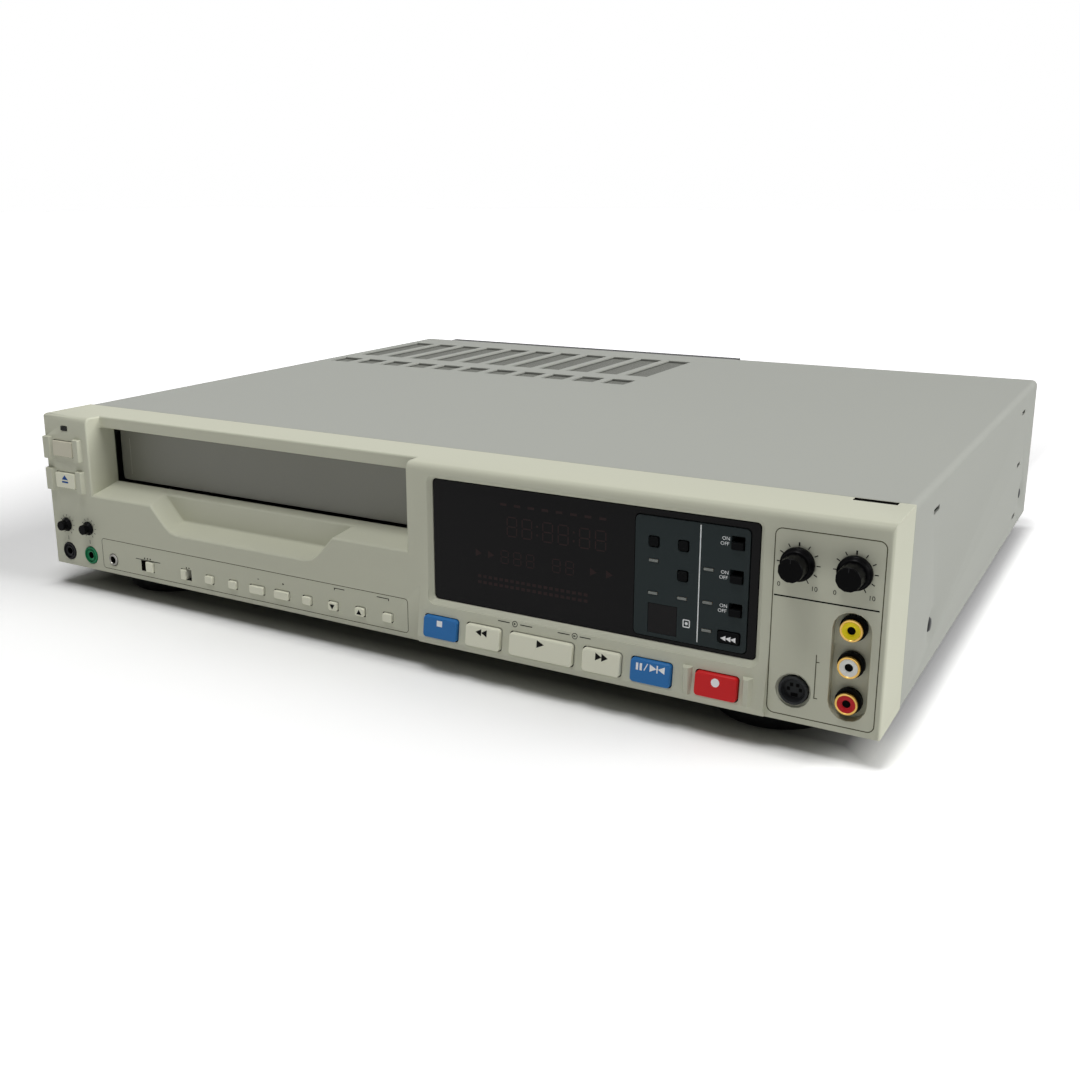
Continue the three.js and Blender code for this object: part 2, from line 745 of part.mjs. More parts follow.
function lineShell() {
  const x = grown(around(lineX, line.width), line.wall);
  const z = grown([line.bottom, line.high], line.wall);
  return prismY(roundedRect(x, z, line.width / 2), [bezel.wall / 2, lineFloor + line.wall]);
}

function lineOpening() {
  const pocket = prismY(
    roundedRect(around(lineX, line.width), [line.bottom, line.high], line.width / 2 - seatGap),
    [-overrun, lineFloor],
  );
  const bores = jackZs.map((z) => turnedY(
    rod(phono.tail + seatGap, [lineFloor - overrun, lineFloor + line.wall + overrun]),
    jackX, z, pinSteps,
  ));
  return join(pocket, bores);
}

function phonoJack(z) {
  const floor = lineFloor;
  const base = floor - seatGap;
  const outline = [
    [0, base - phono.reach + phono.boreDepth], [phono.bore, base - phono.reach + phono.boreDepth],
    [phono.bore, base - phono.reach + phono.insertBack],
    [phono.insert, base - phono.reach + phono.insertBack],
    [phono.insert, base - phono.reach], [phono.lipRadius, base - phono.reach],
    [phono.lipRadius, base - phono.reach + phono.lip], [phono.barrel, base - phono.reach + phono.lip],
    [phono.barrel, base - phono.flangeThick], [phono.flange, base - phono.flangeThick],
    [phono.flange, base], [phono.tail, base], [phono.tail, floor + phono.tailBack - phono.reach],
    [0, floor + phono.tailBack - phono.reach],
  ];
  return turnedY(outline, jackX, z);
}

// The three sockets share one bracket behind the oblong
function lineJacks() {
  const back = lineFloor + line.wall + seatGap;
  const bracket = block(
    around(jackX, 2 * phono.flange),
    [back, back + phono.flangeThick],
    grown([jackZs[0], jackZs.at(-1)], phono.flange),
  );
  return join(bracket, jackZs.map(phonoJack));
}

const din = {
  inset: 32, z: 12.7, ringRadius: 6.6, ringDepth: 1.2, radius: 5.4, proud: 0.6, wallThick: 0.9,
  cup: 3.6, back: 11, pinRadius: 0.6, pinSpread: 1.7, keyWidth: 2.4, keyHigh: 1,
};
const dinX = halfWidth - din.inset;

function dinHole() {
  return turnedY([
    [0, -overrun], [din.ringRadius, -overrun], [din.ringRadius, din.ringDepth / 2],
    [din.radius + seatGap, din.ringDepth], [din.radius + seatGap, wallBack + overrun],
    [0, wallBack + overrun],
  ], dinX, din.z);
}

function dinSocket() {
  const front = -din.proud;
  const body = turnedY([
    [0, front + din.wallThick], [din.radius - 2 * din.wallThick, front + din.wallThick],
    [din.radius - 2 * din.wallThick, front + din.cup], [din.radius - din.wallThick, front + din.cup],
    [din.radius - din.wallThick, front], [din.radius, front], [din.radius, din.back], [0, din.back],
  ], dinX, din.z);
  const pins = [[-1, -1], [1, -1], [-1, 1], [1, 1]].map(([across, up]) => turnedY(
    rod(din.pinRadius, [front, front + din.cup]),
    dinX + across * din.pinSpread,
    din.z + up * din.pinSpread / 2,
    pinSteps,
  ));
  const keyway = block(
    around(dinX, din.keyWidth),
    [front, front + din.cup],
    [din.z - din.pinSpread - din.keyHigh - din.pinRadius, din.z - din.pinSpread - din.pinRadius / 2],
  );
  return cut(body, pins, keyway);
}

// Lamps: the power lamp in the column, and six in the panel

const lamp = {
  width: 3.7, height: 1, proud: 0.1, powerWidth: 4, powerHeight: 2.2, powerDrop: 6.4, powerShift: 1.6,
};
const lampShares = [
  [0.171, 0.639], [0.657, 0.637], [0.171, 0.368], [0.434, 0.364], [0.657, 0.366], [0.657, 0.136],
];
const lamps = [
  {
    x: columnX + lamp.powerShift, z: caseHeight - lamp.powerDrop,
    width: lamp.powerWidth, height: lamp.powerHeight, front: 0, back: wallBack,
  },
  ...lampShares.map(([acrossShare, upShare]) => ({
    x: THREE.MathUtils.lerp(...panelX, acrossShare),
    z: THREE.MathUtils.lerp(...panelZ, upShare),
    width: lamp.width,
    height: lamp.height,
    front: panelFront,
    back: panelBack,
  })),
];

function lampHole(item) {
  return block(
    grown(around(item.x, item.width), seatGap / 2),
    [-overrun, item.back + overrun],
    grown(around(item.z, item.height), seatGap / 2),
  );
}

// Switch panel: plate with a lip behind the window, and a shallow sensor window

const sensor = { depth: 0.6, width: 12, height: 12.1, leftInset: 5.9, lowInset: 1.6 };

function switchPanel() {
  const plate = prismY(roundedRect(panelX, panelZ, panel.corner), [panelFront, panelBack]);
  const lip = prismY(
    roundedRect(grown(panelX, panel.lip), grown(panelZ, panel.lip), panel.corner),
    [pane.back + seatGap, panelBack],
  );
  const sensorWindow = block(
    [panelX[0] + sensor.leftInset, panelX[0] + sensor.leftInset + sensor.width],
    [panelFront - overrun, panelFront + sensor.depth],
    [panelZ[0] + sensor.lowInset, panelZ[0] + sensor.lowInset + sensor.height],
  );
  const holes = [
    ...keys.filter((key) => key.face === 'panel').map(keyOpening),
    ...sliders.filter((item) => item.back === panelBack).map(sliderOpening),
    ...lamps.filter((item) => item.back === panelBack).map(lampHole),
  ];
  return cut(join(plate, lip), sensorWindow, holes);
}

// Slot for the light sensor at the top right, just in front of the seam

const topSlot = { width: 16, depth: 3.5, inset: 6, seam: 0.6, sink: 0.8 };

function topSlotCut() {
  return block(
    [halfWidth - topSlot.inset - topSlot.width, halfWidth - topSlot.inset],
    [bezelDepth - topSlot.seam - topSlot.depth, bezelDepth - topSlot.seam],
    [caseHeight - topSlot.sink, caseHeight + overrun],
  );
}

// Front board: one long circuit board behind the front, low under the cassette recess, with the
// display tube, the lamps, the key switches and the knobs' controls on it

const tube = { front: 7, leftInset: 8, rightInset: 7, bottomInset: 6.6, topInset: 4.6 };
const boss = { radius: 2, postInset: 7.7, postZ: 66, rightInset: 6.3, rightZ: 50, leftZ: 33, middleZ: 18 };
const boardTop = bezelInnerTop - pinGap - seatGap;
const boardLow = bezelSide + seatGap + seatGap;

function boardOutline() {
  const left = -halfWidth + board.inset;
  const columnEdge = slotLeft - slot.wall - board.thick;
  return polygon([
    [left, boardLow], [halfWidth - board.inset, boardLow], [halfWidth - board.inset, boardTop],
    [slotRight + postWidth / 2, boardTop], [slotRight + postWidth / 2, board.lowTop],
    [columnEdge, board.lowTop], [columnEdge, boardTop], [left, boardTop],
  ]);
}

function frontBoard() {
  const sheet = prismY(boardOutline(), [board.front, board.front + board.thick]);
  const welded = board.front + weld;
  const switches = keys.map((key) => block(
    around(key.x, keySwitch.width), [switchFront, welded], around(key.z, keySwitch.height),
  ));
  const bodies = sliders.map((item) => {
    const reach = slider.flange + item.throwHalf;
    return block(
      around(item.x, item.width + (item.sideways ? 2 * reach : 0)),
      [item.back + slider.gap + slider.thick + seatGap, welded],
      around(item.z, item.height + (item.sideways ? 0 : 2 * reach)),
    );
  });
  const pots = knobs.map((knob) => turnedY(
    rod(knob.shaft * pot.radiusShare, [pot.front, welded]), knob.x, knob.z, pinSteps,
  ));
  const bores = knobs.map((knob) => turnedY(
    rod(knob.shaft + pinGap, [pot.front - overrun, pot.shaftBack + seatGap]), knob.x, knob.z, pinSteps,
  ));
  const lights = lamps.map((item) => block(
    around(item.x, item.width), [item.front - lamp.proud, welded], around(item.z, item.height),
  ));
  const display = block(
    [windowLeft + tube.leftInset, panelX[0] - tube.rightInset],
    [tube.front, welded],
    [windowZ[0] + tube.bottomInset, windowZ[1] - tube.topInset],
  );
  return cut(join(sheet, switches, bodies, pots, lights, display), bores);
}

function boardBosses() {
  const places = [
    [windowLeft - boss.postInset + boss.radius, boss.postZ],
    [windowRight + boss.rightInset, boss.rightZ],
    [columnX, boss.leftZ],
    [slotMiddle, boss.middleZ],
  ];
  return places.map(([x, z]) => turnedY(
    rod(boss.radius, [bezel.wall / 2, board.front - seatGap]), x, z, pinSteps,
  ));
}

// Top cover: a folded sheet with ventilation slots, side slots and dimples for its screws

const cover = { sheet: 1, bend: 3, bottom: 0.6, seam: 0.2 };
const coverFront = bezelDepth + cover.seam;
const coverUnder = caseHeight - cover.sheet;
const vent = {
  count: 11, pitch: 20, width: 15, long: 70, short: 17.4, gap: 16, rearInset: 25.3, sideInset: 8.8,
};
const sideSlot = { count: 3, length: 10.5, height: 2, topInset: 11.2, lowZ: 9, frontY: 71, rearInset: 48 };
const dimple = {
  radius: 8.7, floor: 5.6, depth: 1.5, rim: 0.5, hole: 1.8, z: 17.5, frontY: 81, rearInset: 26.5,
};
const dimpleYs = [dimple.frontY, caseDepth - dimple.rearInset];
const ventLeft = -halfWidth + vent.sideInset;
const longY = [caseDepth - vent.rearInset - vent.long, caseDepth - vent.rearInset];
const shortY = [longY[0] - vent.gap - vent.short, longY[0] - vent.gap];

function archShape(margin) {
  const low = margin > 0 ? cover.bottom - overrun : cover.bottom;
  const side = halfWidth - margin;
  const top = caseHeight - margin;
  const bend = cover.bend - margin;
  const shape = new THREE.Shape();
  shape.moveTo(-side, low);
  shape.lineTo(side, low);
  shape.absarc(side - bend, top - bend, bend, 0, Math.PI / 2, false);
  shape.absarc(bend - side, top - bend, bend, Math.PI / 2, Math.PI, false);
  return shape;
}

function dimpleCup(side, y) {
  const bottom = dimple.depth + cover.sheet;
  const rim = dimple.radius + dimple.rim;
  const outline = [
    [dimple.hole, bottom], [dimple.hole, dimple.depth], [dimple.floor, dimple.depth],
    [dimple.radius, 0], [rim, 0], [rim, cover.sheet], [dimple.floor + cover.sheet / 2, bottom],
    [dimple.hole, bottom],
  ];
  const placed = outline.map(([r, s]) => [r, side * (halfWidth - s)]);
  return turnedX(side > 0 ? placed.reverse() : placed, y, dimple.z);
}

function topCover() {
  const shell = cut(
    prismY(archShape(0), [coverFront, caseDepth]),
    prismY(archShape(cover.sheet), [coverFront - overrun, caseDepth + overrun]),
  );
  const through = [coverUnder - overrun, caseHeight + overrun];
  const vents = cycle(vent.count, (index) => {
    const x = [ventLeft + index * vent.pitch, ventLeft + index * vent.pitch + vent.width];
    return [block(x, longY, through), block(x, shortY, through)];
  });
  const slotTopZ = caseHeight - sideSlot.topInset;
  const slotPitch = (slotTopZ - sideSlot.lowZ) / (sideSlot.count - 1);
  const slots = [-1, 1].flatMap((side) => {
    const x = side > 0 ? [halfWidth - dimple.depth, halfWidth + overrun]
      : [-halfWidth - overrun, dimple.depth - halfWidth];
    const rearSlots = cycle(sideSlot.count, (index) => block(
      x,
      around(caseDepth - sideSlot.rearInset, sideSlot.length),
      around(slotTopZ - index * slotPitch, sideSlot.height),
    ));
    const frontSlot = block(x, around(sideSlot.frontY, sideSlot.length), around(slotTopZ, sideSlot.height));
    const rounds = dimpleYs.map((y) => turnedX(rod(dimple.radius, x), y, dimple.z));
    return [frontSlot, ...rearSlots, ...rounds];
  });
  const cups = [-1, 1].flatMap((side) => dimpleYs.map((y) => dimpleCup(side, y)));
  return join(cut(shell, vents.flat(), slots), cups);
}

const screen = { margin: 2.2, thick: 0.9 };

function ventScreen() {
  return block(
    [ventLeft - screen.margin / 2, ventLeft + (vent.count - 1) * vent.pitch + vent.width + screen.margin],
    [shortY[0] - screen.margin, longY[1] + screen.margin],
    [coverUnder - seatGap - screen.thick, coverUnder - seatGap],
  );
}

// Transport levels, stacked down from the cassette channel

const channel = { topGap: 1.3, ledge: 7, sideGap: 0.6 };
const holderTop = slotTop - channel.topGap;
const holderCeiling = holderTop - holderSheet;
const deck = { front: 56, leftOver: 4.8, rightOver: 8.5 };
const deckX = [slotLeft - deck.leftOver - slot.wall, slotRight + deck.rightOver];
const chassis = { front: 18, flange: 24, sideGap: 2.8, rearInset: 0.6, post: 4 };

// Carriage: the holder hangs in a slider, and the slider runs in a fixed frame on the deck

const carriage = {
  front: 54, length: 64, wall: 1.2, gap: 0.5, rackGap: 3.3, frameWall: 1.5, frameFoot: 6,
  pinRadius: 1.1, pinInset: 12, guideInset: 6, holderPinDrop: 4.5, sliderLow: 2.5,
};
const halfCassette = cassetteWidth / 2;
const holderInner = halfCassette + channel.sideGap;
const holderOuter = holderInner + holderSheet;
const sliderInner = holderOuter + carriage.gap;
const sliderOuter = sliderInner + carriage.wall;
const frameInner = sliderOuter + carriage.rackGap;
const frameOuter = frameInner + carriage.frameWall;
const carriageY = [carriage.front, carriage.front + carriage.length];

// How far the carriage runs back to bring the cassette's lid end to the drum
const carriageTravel = lidY - carriageY[1];
const bridge = { thick: 1, gap: 0.6, sliderFront: 30, sliderWidth: 16, frameInset: 6, frameWidth: 22 };
const sliderTop = bezelInnerTop - 2 * bridge.gap - 2 * bridge.thick + seatGap;
const frameTop = sliderTop + bridge.gap + bridge.thick;
const guideZ = sliderTop - carriage.pinRadius - carriage.frameWall;
const holderPinZ = holderTop - carriage.holderPinDrop;
const frameBack = carriageY[1] + carriageTravel + carriage.guideInset;

function sideSpan(side, inner, outer) {
  const edges = [slotMiddle + side * inner, slotMiddle + side * outer];
  return side > 0 ? edges : edges.reverse();
}

const bothSides = [-1, 1];
const pinYs = [carriageY[0] + carriage.pinInset, carriageY[1] - carriage.pinInset];
const guideYs = [carriageY[0] + carriage.guideInset, carriageY[1] - carriage.guideInset];
const holderWindow = { inset: 34, edge: 12 };

function cassetteHolder() {
  const top = block(sideSpan(1, -holderOuter, holderOuter), carriageY, [holderCeiling, holderTop]);
  const ledgeInner = holderInner - channel.ledge;
  const opening = block(
    sideSpan(1, holderWindow.inset - holderOuter, holderOuter - holderWindow.inset),
    grown(carriageY, -holderWindow.edge),
    grown([holderCeiling, holderTop], overrun),
  );
  const sides = bothSides.flatMap((side) => [
    block(sideSpan(side, holderInner, holderOuter), carriageY, [ledgeUnder, holderTop]),
    block(sideSpan(side, ledgeInner, holderOuter), carriageY, [ledgeUnder, holderFloor - weld]),
    block(
      sideSpan(side, ledgeInner, holderOuter),
      [carriageY[1] - holderSheet, carriageY[1]],
      [ledgeUnder, holderFloor + cassetteThickness / 2],
    ),
    ...pinYs.map((y) => turnedX(
      rod(carriage.pinRadius, sideSpan(side, holderInner + weld, sliderOuter - seatGap)),
      y, holderPinZ, pinSteps,
    )),
  ]);
  return join(cut(top, opening), sides);
}

// Loading gear: a rack under the slider's right side, and the pinion that drives it

const gear = {
  module: 1, teeth: 16, face: 2.1, rackFace: 2.4, rackBody: 3.5, pinionInset: 59.5,
  toothShare: 0.32, tipShare: 0.14, rootDepthShare: 1.25, tipHeightShare: 0.8, shaft: 1.5, washer: 0.8,
};
const toothPitch = Math.PI * gear.module;
const pitchRadius = gear.module * gear.teeth / 2;
const rackLine = ledgeUnder + carriage.sliderLow + 2 * gear.module;
const pinionZ = rackLine - pitchRadius;
const pinionY = carriage.front + gear.pinionInset;
const gearX = slotMiddle + sliderOuter + seatGap;

function toothOutline(root, tip, middle) {
  const wide = gear.toothShare * toothPitch;
  const narrow = gear.tipShare * toothPitch;
  return [[middle - wide, root], [middle - narrow, tip], [middle + narrow, tip], [middle + wide, root]];
}

function rack() {
  const face = sideSpan(1, sliderOuter - weld, sliderOuter + gear.rackFace);
  const bar = block(face, carriageY, [rackLine + gear.module, rackLine + gear.module + gear.rackBody]);
  const half = toothPitch / 2;
  const first = Math.ceil((carriageY[0] + half - pinionY) / toothPitch);
  const last = Math.floor((carriageY[1] - half - pinionY) / toothPitch);
  const teeth = cycle(last - first + 1, (index) => {
    const middle = pinionY + (first + index) * toothPitch;
    return prismX(polygon(toothOutline(rackLine + gear.module + weld, rackLine - gear.module, middle)), face);
  });
  return join(bar, teeth);
}

function carriageSlider() {
  const low = ledgeUnder + carriage.sliderLow;
  const plates = bothSides.flatMap((side) => [
    block(sideSpan(side, sliderInner, sliderOuter), carriageY, [low, sliderTop]),
    ...guideYs.map((y) => turnedX(
      rod(carriage.pinRadius, sideSpan(side, sliderOuter - weld, frameOuter)), y, guideZ, pinSteps,
    )),
  ]);
  const slots = bothSides.flatMap((side) => pinYs.map((y) => block(
    sideSpan(side, sliderInner - overrun / 2, sliderOuter + overrun / 2),
    around(y, 2 * (carriage.pinRadius + pinGap)),
    [holderPinZ - cassetteDrop - carriage.pinRadius - pinGap, holderPinZ + carriage.pinRadius + pinGap],
  )));
  const across = block(
    sideSpan(1, -sliderInner - weld, sliderInner + weld),
    [carriageY[0] + bridge.sliderFront, carriageY[0] + bridge.sliderFront + bridge.sliderWidth],
    [sliderTop - bridge.thick, sliderTop],
  );
  return join(cut(join(plates), slots), across, rack());
}

function carriageFrame() {
  const low = deckTop + seatGap;
  const y = [deck.front + seatGap, frameBack];
  const plates = bothSides.flatMap((side) => [
    block(sideSpan(side, frameInner, frameOuter), y, [low, frameTop]),
    block(sideSpan(side, frameInner - carriage.frameFoot, frameOuter), y, [low, low + carriage.frameWall]),
  ]);
  const reach = carriage.pinRadius + pinGap;
  const slots = bothSides.map((side) => block(
    sideSpan(side, frameInner - overrun, frameOuter + overrun),
    [guideYs[0] - reach, guideYs[1] + carriageTravel + reach],
    [guideZ - reach, guideZ + reach],
  ));
  const bearing = turnedX(
    rod(gear.shaft + pinGap, sideSpan(1, frameInner - overrun, frameOuter + overrun)),
    pinionY, pinionZ, pinSteps,
  );
  const across = block(
    sideSpan(1, -frameInner - weld, frameInner + weld),
    [frameBack - bridge.frameInset - bridge.frameWidth, frameBack - bridge.frameInset],
    [frameTop - bridge.thick, frameTop],
  );
  return join(cut(join(plates), slots, bearing), across);
}

function loadingPinion() {
  const root = pitchRadius - gear.rootDepthShare * gear.module;
  const tip = pitchRadius + gear.tipHeightShare * gear.module;
  const shape = new THREE.Shape();
  const step = 2 * Math.PI / gear.teeth;
  cycle(gear.teeth, (index) => {
    // Half a step off, so that a gap faces the rack tooth above the shaft
    const middle = Math.PI / 2 + (2 * index + 1) * step / 2;
    for (const [offset, radius] of [
      [-gear.toothShare * step, root],
      [-gear.tipShare * step, tip],
      [gear.tipShare * step, tip],
      [gear.toothShare * step, root],
    ]) {
      const y = pinionY + radius * Math.cos(middle + offset);
      const z = pinionZ + radius * Math.sin(middle + offset);
      if (index === 0 && radius === root && offset < 0) shape.moveTo(y, z);
      else shape.lineTo(y, z);
    }
  });
  const x = [gearX, gearX + gear.face];
  const shaft = turnedX(
    rod(gear.shaft, [gearX + weld, slotMiddle + frameOuter + gear.washer]),
    pinionY, pinionZ, pinSteps,
  );
  return join(prismX(shape, x), shaft);
}

// Tape deck: reel tables, head drum and capstan on the deck plate

const reels = {
  spacing: 92, fromLid: 62, disc: 17, discThick: 2.8, step: 11, stepHigh: 5.3, hub: 4.4, hubHigh: 20,
  fin: 5.8, finWidth: 1.6, fins: 3, pin: 2, pinDepth: 11, lift: 0.5,
};
const reelY = lidY - reels.fromLid;
const drum = {
  radius: 31, baseHigh: 4, lower: 13, gap: 0.4, upper: 11, spindle: 3,
  tilt: 5.95, hub: 9, hubHigh: 3, waist: 0.6, lead: 2, bottomHole: 20,
};
const drumTilt = THREE.MathUtils.degToRad(drum.tilt);
const capstan = { inset: 34, fromLid: 12, radius: 2, high: 27, wheel: 22, housing: 5, housingHigh: 6.5 };
const capstanX = slotMiddle + halfCassette - capstan.inset;
const capstanY = lidY + capstan.fromLid;
const wheelShares = { low: 0.25, high: 0.8 };
const guidePost = { across: 47, fromLid: 22, radius: 2.5, high: 25, base: 5, baseHigh: 3 };

function reelPin(x) {
  return turnedZ(rod(reels.pin, [deckTop - weld, deckTop + reels.lift + reels.pinDepth]), x, reelY, pinSteps);
}

function reelTable(x) {
  const low = deckTop + reels.lift;
  const outline = [
    [0, low], [reels.disc, low], [reels.disc, low + reels.discThick],
    [reels.step, low + reels.discThick], [reels.step, low + reels.stepHigh],
    [reels.hub, low + reels.stepHigh], [reels.hub, low + reels.hubHigh - reels.hub / 2],
    [0, low + reels.hubHigh],
  ];
  const fins = cycle(reels.fins, (index) => {
    const fin = new THREE.BoxGeometry(reels.fin, reels.finWidth, reels.hubHigh - reels.stepHigh - reels.hub);
    fin.translate(reels.fin / 2, 0, (reels.hubHigh + reels.stepHigh - reels.hub) / 2 + low);
    return toSolid(fin.rotateZ(index * 2 * Math.PI / reels.fins).translate(x, reelY, 0));
  });
  const bore = turnedZ(
    rod(reels.pin + pinGap, [low - overrun, low + reels.pinDepth + seatGap]), x, reelY, pinSteps,
  );
  return cut(join(turnedZ(outline, x, reelY), fins), bore);
}

const reelXs = [slotMiddle - reels.spacing / 2, slotMiddle + reels.spacing / 2];
const drumFloor = deckTop + seatGap + drum.baseHigh;

function tilted(outline, steps = 2 * turnSteps) {
  const geometry = lathe(outline, steps).rotateX(Math.PI / 2).rotateY(-drumTilt);
  return toSolid(geometry.translate(slotMiddle, drumY, drumFloor));
}

function lowerDrum() {
  const base = turnedZ(
    rod(drumBase, [deckTop + seatGap, drumFloor + drumBase * Math.sin(drumTilt)]), slotMiddle, drumY,
  );
  const aboveTilt = tilted([
    [0, 0], [2 * drumBase, 0], [2 * drumBase, drumBase], [0, drumBase],
  ]);
  const body = tilted([
    [0, -weld], [drum.radius, -weld], [drum.radius, drum.lower], [drum.spindle, drum.lower],
    [drum.spindle, drum.lower + drum.gap + drum.upper], [0, drum.lower + drum.gap + drum.upper],
  ]);
  return join(cut(base, aboveTilt), body);
}

function upperDrum() {
  const low = drum.lower + drum.gap;
  const high = low + drum.upper;
  return tilted([
    [drum.spindle + pinGap, low], [drum.radius, low], [drum.radius, high - drum.lead],
    [drum.radius - drum.waist, high], [drum.hub, high], [drum.hub, high + drum.hubHigh],
    [drum.spindle + pinGap, high + drum.hubHigh], [drum.spindle + pinGap, low],
  ]);
}

function capstanSolid() {
  const room = deckUnder - chassisTop;
  const low = chassisTop + wheelShares.low * room;
  const high = chassisTop + wheelShares.high * room;
  return turnedZ([
    [0, low], [capstan.wheel, low], [capstan.wheel, high], [capstan.radius, high],
    [capstan.radius, deckTop + capstan.high], [0, deckTop + capstan.high],
  ], capstanX, capstanY);
}

function transportDeck() {
  const plate = block(deckX, [deck.front, deckBack], [deckUnder, deckTop]);
  const housing = turnedZ(
    rod(capstan.housing, [deckTop - weld, deckTop + capstan.housingHigh]), capstanX, capstanY,
  );
  const bore = turnedZ(
    rod(capstan.radius + pinGap, [deckUnder - overrun, deckTop + capstan.housingHigh + overrun]),
    capstanX, capstanY, pinSteps,
  );
  const drumHole = turnedZ(rod(drum.bottomHole, grown([deckUnder, deckTop], overrun)), slotMiddle, drumY);
  const posts = bothSides.map((side) => turnedZ([
    [0, deckTop - weld], [guidePost.base, deckTop - weld], [guidePost.base, deckTop + guidePost.baseHigh],
    [guidePost.radius, deckTop + guidePost.baseHigh], [guidePost.radius, deckTop + guidePost.high],
    [0, deckTop + guidePost.high],
  ], slotMiddle + side * guidePost.across, lidY + guidePost.fromLid, pinSteps));
  return cut(join(plate, housing, posts, reelXs.map(reelPin)), bore, drumHole);
}

// Circuit boards and the power supply on the chassis

const mainBoard = {
  gap: 8, rightInset: 12, front: 40, rearInset: 14, lift: 6.3, thick: 1.6,
};
const mainX = [deckX[1] + mainBoard.gap, halfWidth - mainBoard.rightInset];
const mainY = [mainBoard.front, caseDepth - mainBoard.rearInset];
const mainZ = chassisTop + mainBoard.lift;
const supply = { leftInset: 12, lift: 4.3, thick: 1.6, rightReach: 6 };
const supplyX = [-halfWidth + supply.leftInset, slotRight - supply.rightReach];
const supplyZ = chassisTop + supply.lift;

// Parts on a board: place and size as shares of the board, then the height
const partHeight = { chips: 4, servo: 3.5, shield: 18, tuner: 26, transformer: 42, heatSink: 36 };
const mainBlocks = [
  { placeShare: [0.3, 0.25], sizeShare: [0.22, 0.1], high: partHeight.chips },
  { placeShare: [0.68, 0.3], sizeShare: [0.16, 0.16], high: partHeight.servo },
  { placeShare: [0.3, 0.5], sizeShare: [0.3, 0.12], high: partHeight.shield },
  { placeShare: [0.72, 0.84], sizeShare: [0.36, 0.22], high: partHeight.tuner },
];
const mainCans = { radius: 4, high: 14, count: 6, rowShare: 0.66, startShare: 0.12, pitchShare: 0.13 };
const supplyBlocks = [
  { placeShare: [0.2, 0.5], sizeShare: [0.24, 0.62], high: partHeight.transformer },
  { placeShare: [0.52, 0.2], sizeShare: [0.02, 0.3], high: partHeight.heatSink },
  { placeShare: [0.56, 0.2], sizeShare: [0.02, 0.3], high: partHeight.heatSink },
  { placeShare: [0.6, 0.2], sizeShare: [0.02, 0.3], high: partHeight.heatSink },
];
const supplyRib = { placeShare: [0.56, 0.2], sizeShare: [0.1, 0.04], high: partHeight.heatSink };
const supplyCans = { radius: 10, high: 34, count: 3, rowShare: 0.68, startShare: 0.48, pitchShare: 0.17 };

function boardPart({ placeShare, sizeShare, high }, x, y, z) {
  const across = around(THREE.MathUtils.lerp(...x, placeShare[0]), sizeShare[0] * (x[1] - x[0]));
  const along = around(THREE.MathUtils.lerp(...y, placeShare[1]), sizeShare[1] * (y[1] - y[0]));
  return block(across, along, [z - weld, z + high]);
}

function canRow(cans, x, y, z) {
  return cycle(cans.count, (index) => turnedZ(
    rod(cans.radius, [z - weld, z + cans.high]),
    THREE.MathUtils.lerp(...x, cans.startShare + index * cans.pitchShare),
    THREE.MathUtils.lerp(...y, cans.rowShare),
    pinSteps,
  ));
}

function mainBoardSolid() {
  const top = mainZ + mainBoard.thick;
  return join(
    block(mainX, mainY, [mainZ, top]),
    mainBlocks.map((item) => boardPart(item, mainX, mainY, top)),
    canRow(mainCans, mainX, mainY, top),
  );
}

function powerSupply() {
  const top = supplyZ + supply.thick;
  return join(
    block(supplyX, supplyY, [supplyZ, top]),
    supplyBlocks.map((item) => boardPart(item, supplyX, supplyY, top)),
    boardPart(supplyRib, supplyX, supplyY, top),
    canRow(supplyCans, supplyX, supplyY, top),
  );
}

// Bottom chassis: a folded pan with posts for the deck and the boards

const backPanel = { plate: 2.5, inset: 0.3 };
const rearPlateY = [caseDepth - backPanel.inset - backPanel.plate, caseDepth - backPanel.inset];
const postShares = { edge: 0.04, far: 0.96 };
const pan = { ventCount: 8, ventWidth: 5, ventPitch: 16, ventInset: 30, boardPost: 2.5 };

function postsUnder(x, y, top, radius) {
  const corners = [postShares.edge, postShares.far];
  return corners.flatMap((acrossShare) => corners.map((alongShare) => turnedZ(
    rod(radius, [chassisTop - weld, top - seatGap]),
    THREE.MathUtils.lerp(...x, acrossShare),
    THREE.MathUtils.lerp(...y, alongShare),
    pinSteps,
  )));
}

function bottomChassis() {
  const side = halfWidth - chassis.sideGap;
  const plate = block([-side, side], [chassis.front, rearPlateY[1]], [chassisUnder, chassisTop]);
  const flangeY = [coverFront + seatGap, rearPlateY[0] - seatGap];
  const flanges = bothSides.map((direction) => {
    const x = [direction * side, direction * (side - panSheet)];
    return block(direction > 0 ? x.reverse() : x, flangeY, [chassisUnder, chassis.flange]);
  });
  const screwHoles = dimpleYs.map((y) => turnedX(
    rod(dimple.hole, [-halfWidth, halfWidth]), y, dimple.z, pinSteps,
  ));
  const vents = cycle(pan.ventCount, (index) => {
    const x = supplyX[0] + pan.ventInset + index * pan.ventPitch;
    const through = grown([chassisUnder, chassisTop], overrun);
    return block([x, x + pan.ventWidth], grown(supplyY, -pan.ventPitch), through);
  });
  const posts = [
    ...postsUnder(deckX, [deck.front, deckBack], deckUnder, chassis.post),
    ...postsUnder(mainX, mainY, mainZ, pan.boardPost),
    ...postsUnder(supplyX, supplyY, supplyZ, pan.boardPost),
  ];
  return join(cut(join(plate, flanges), screwHoles, vents), posts);
}

// Feet: broad turned discs with a boss that reaches the pan past the bezel

const foot = {
  radius: 26, sideInset: 50, frontInset: 38.5, rearInset: 45, taper: 2, boss: 6, dish: 1.2, dishRadius: 19,
};

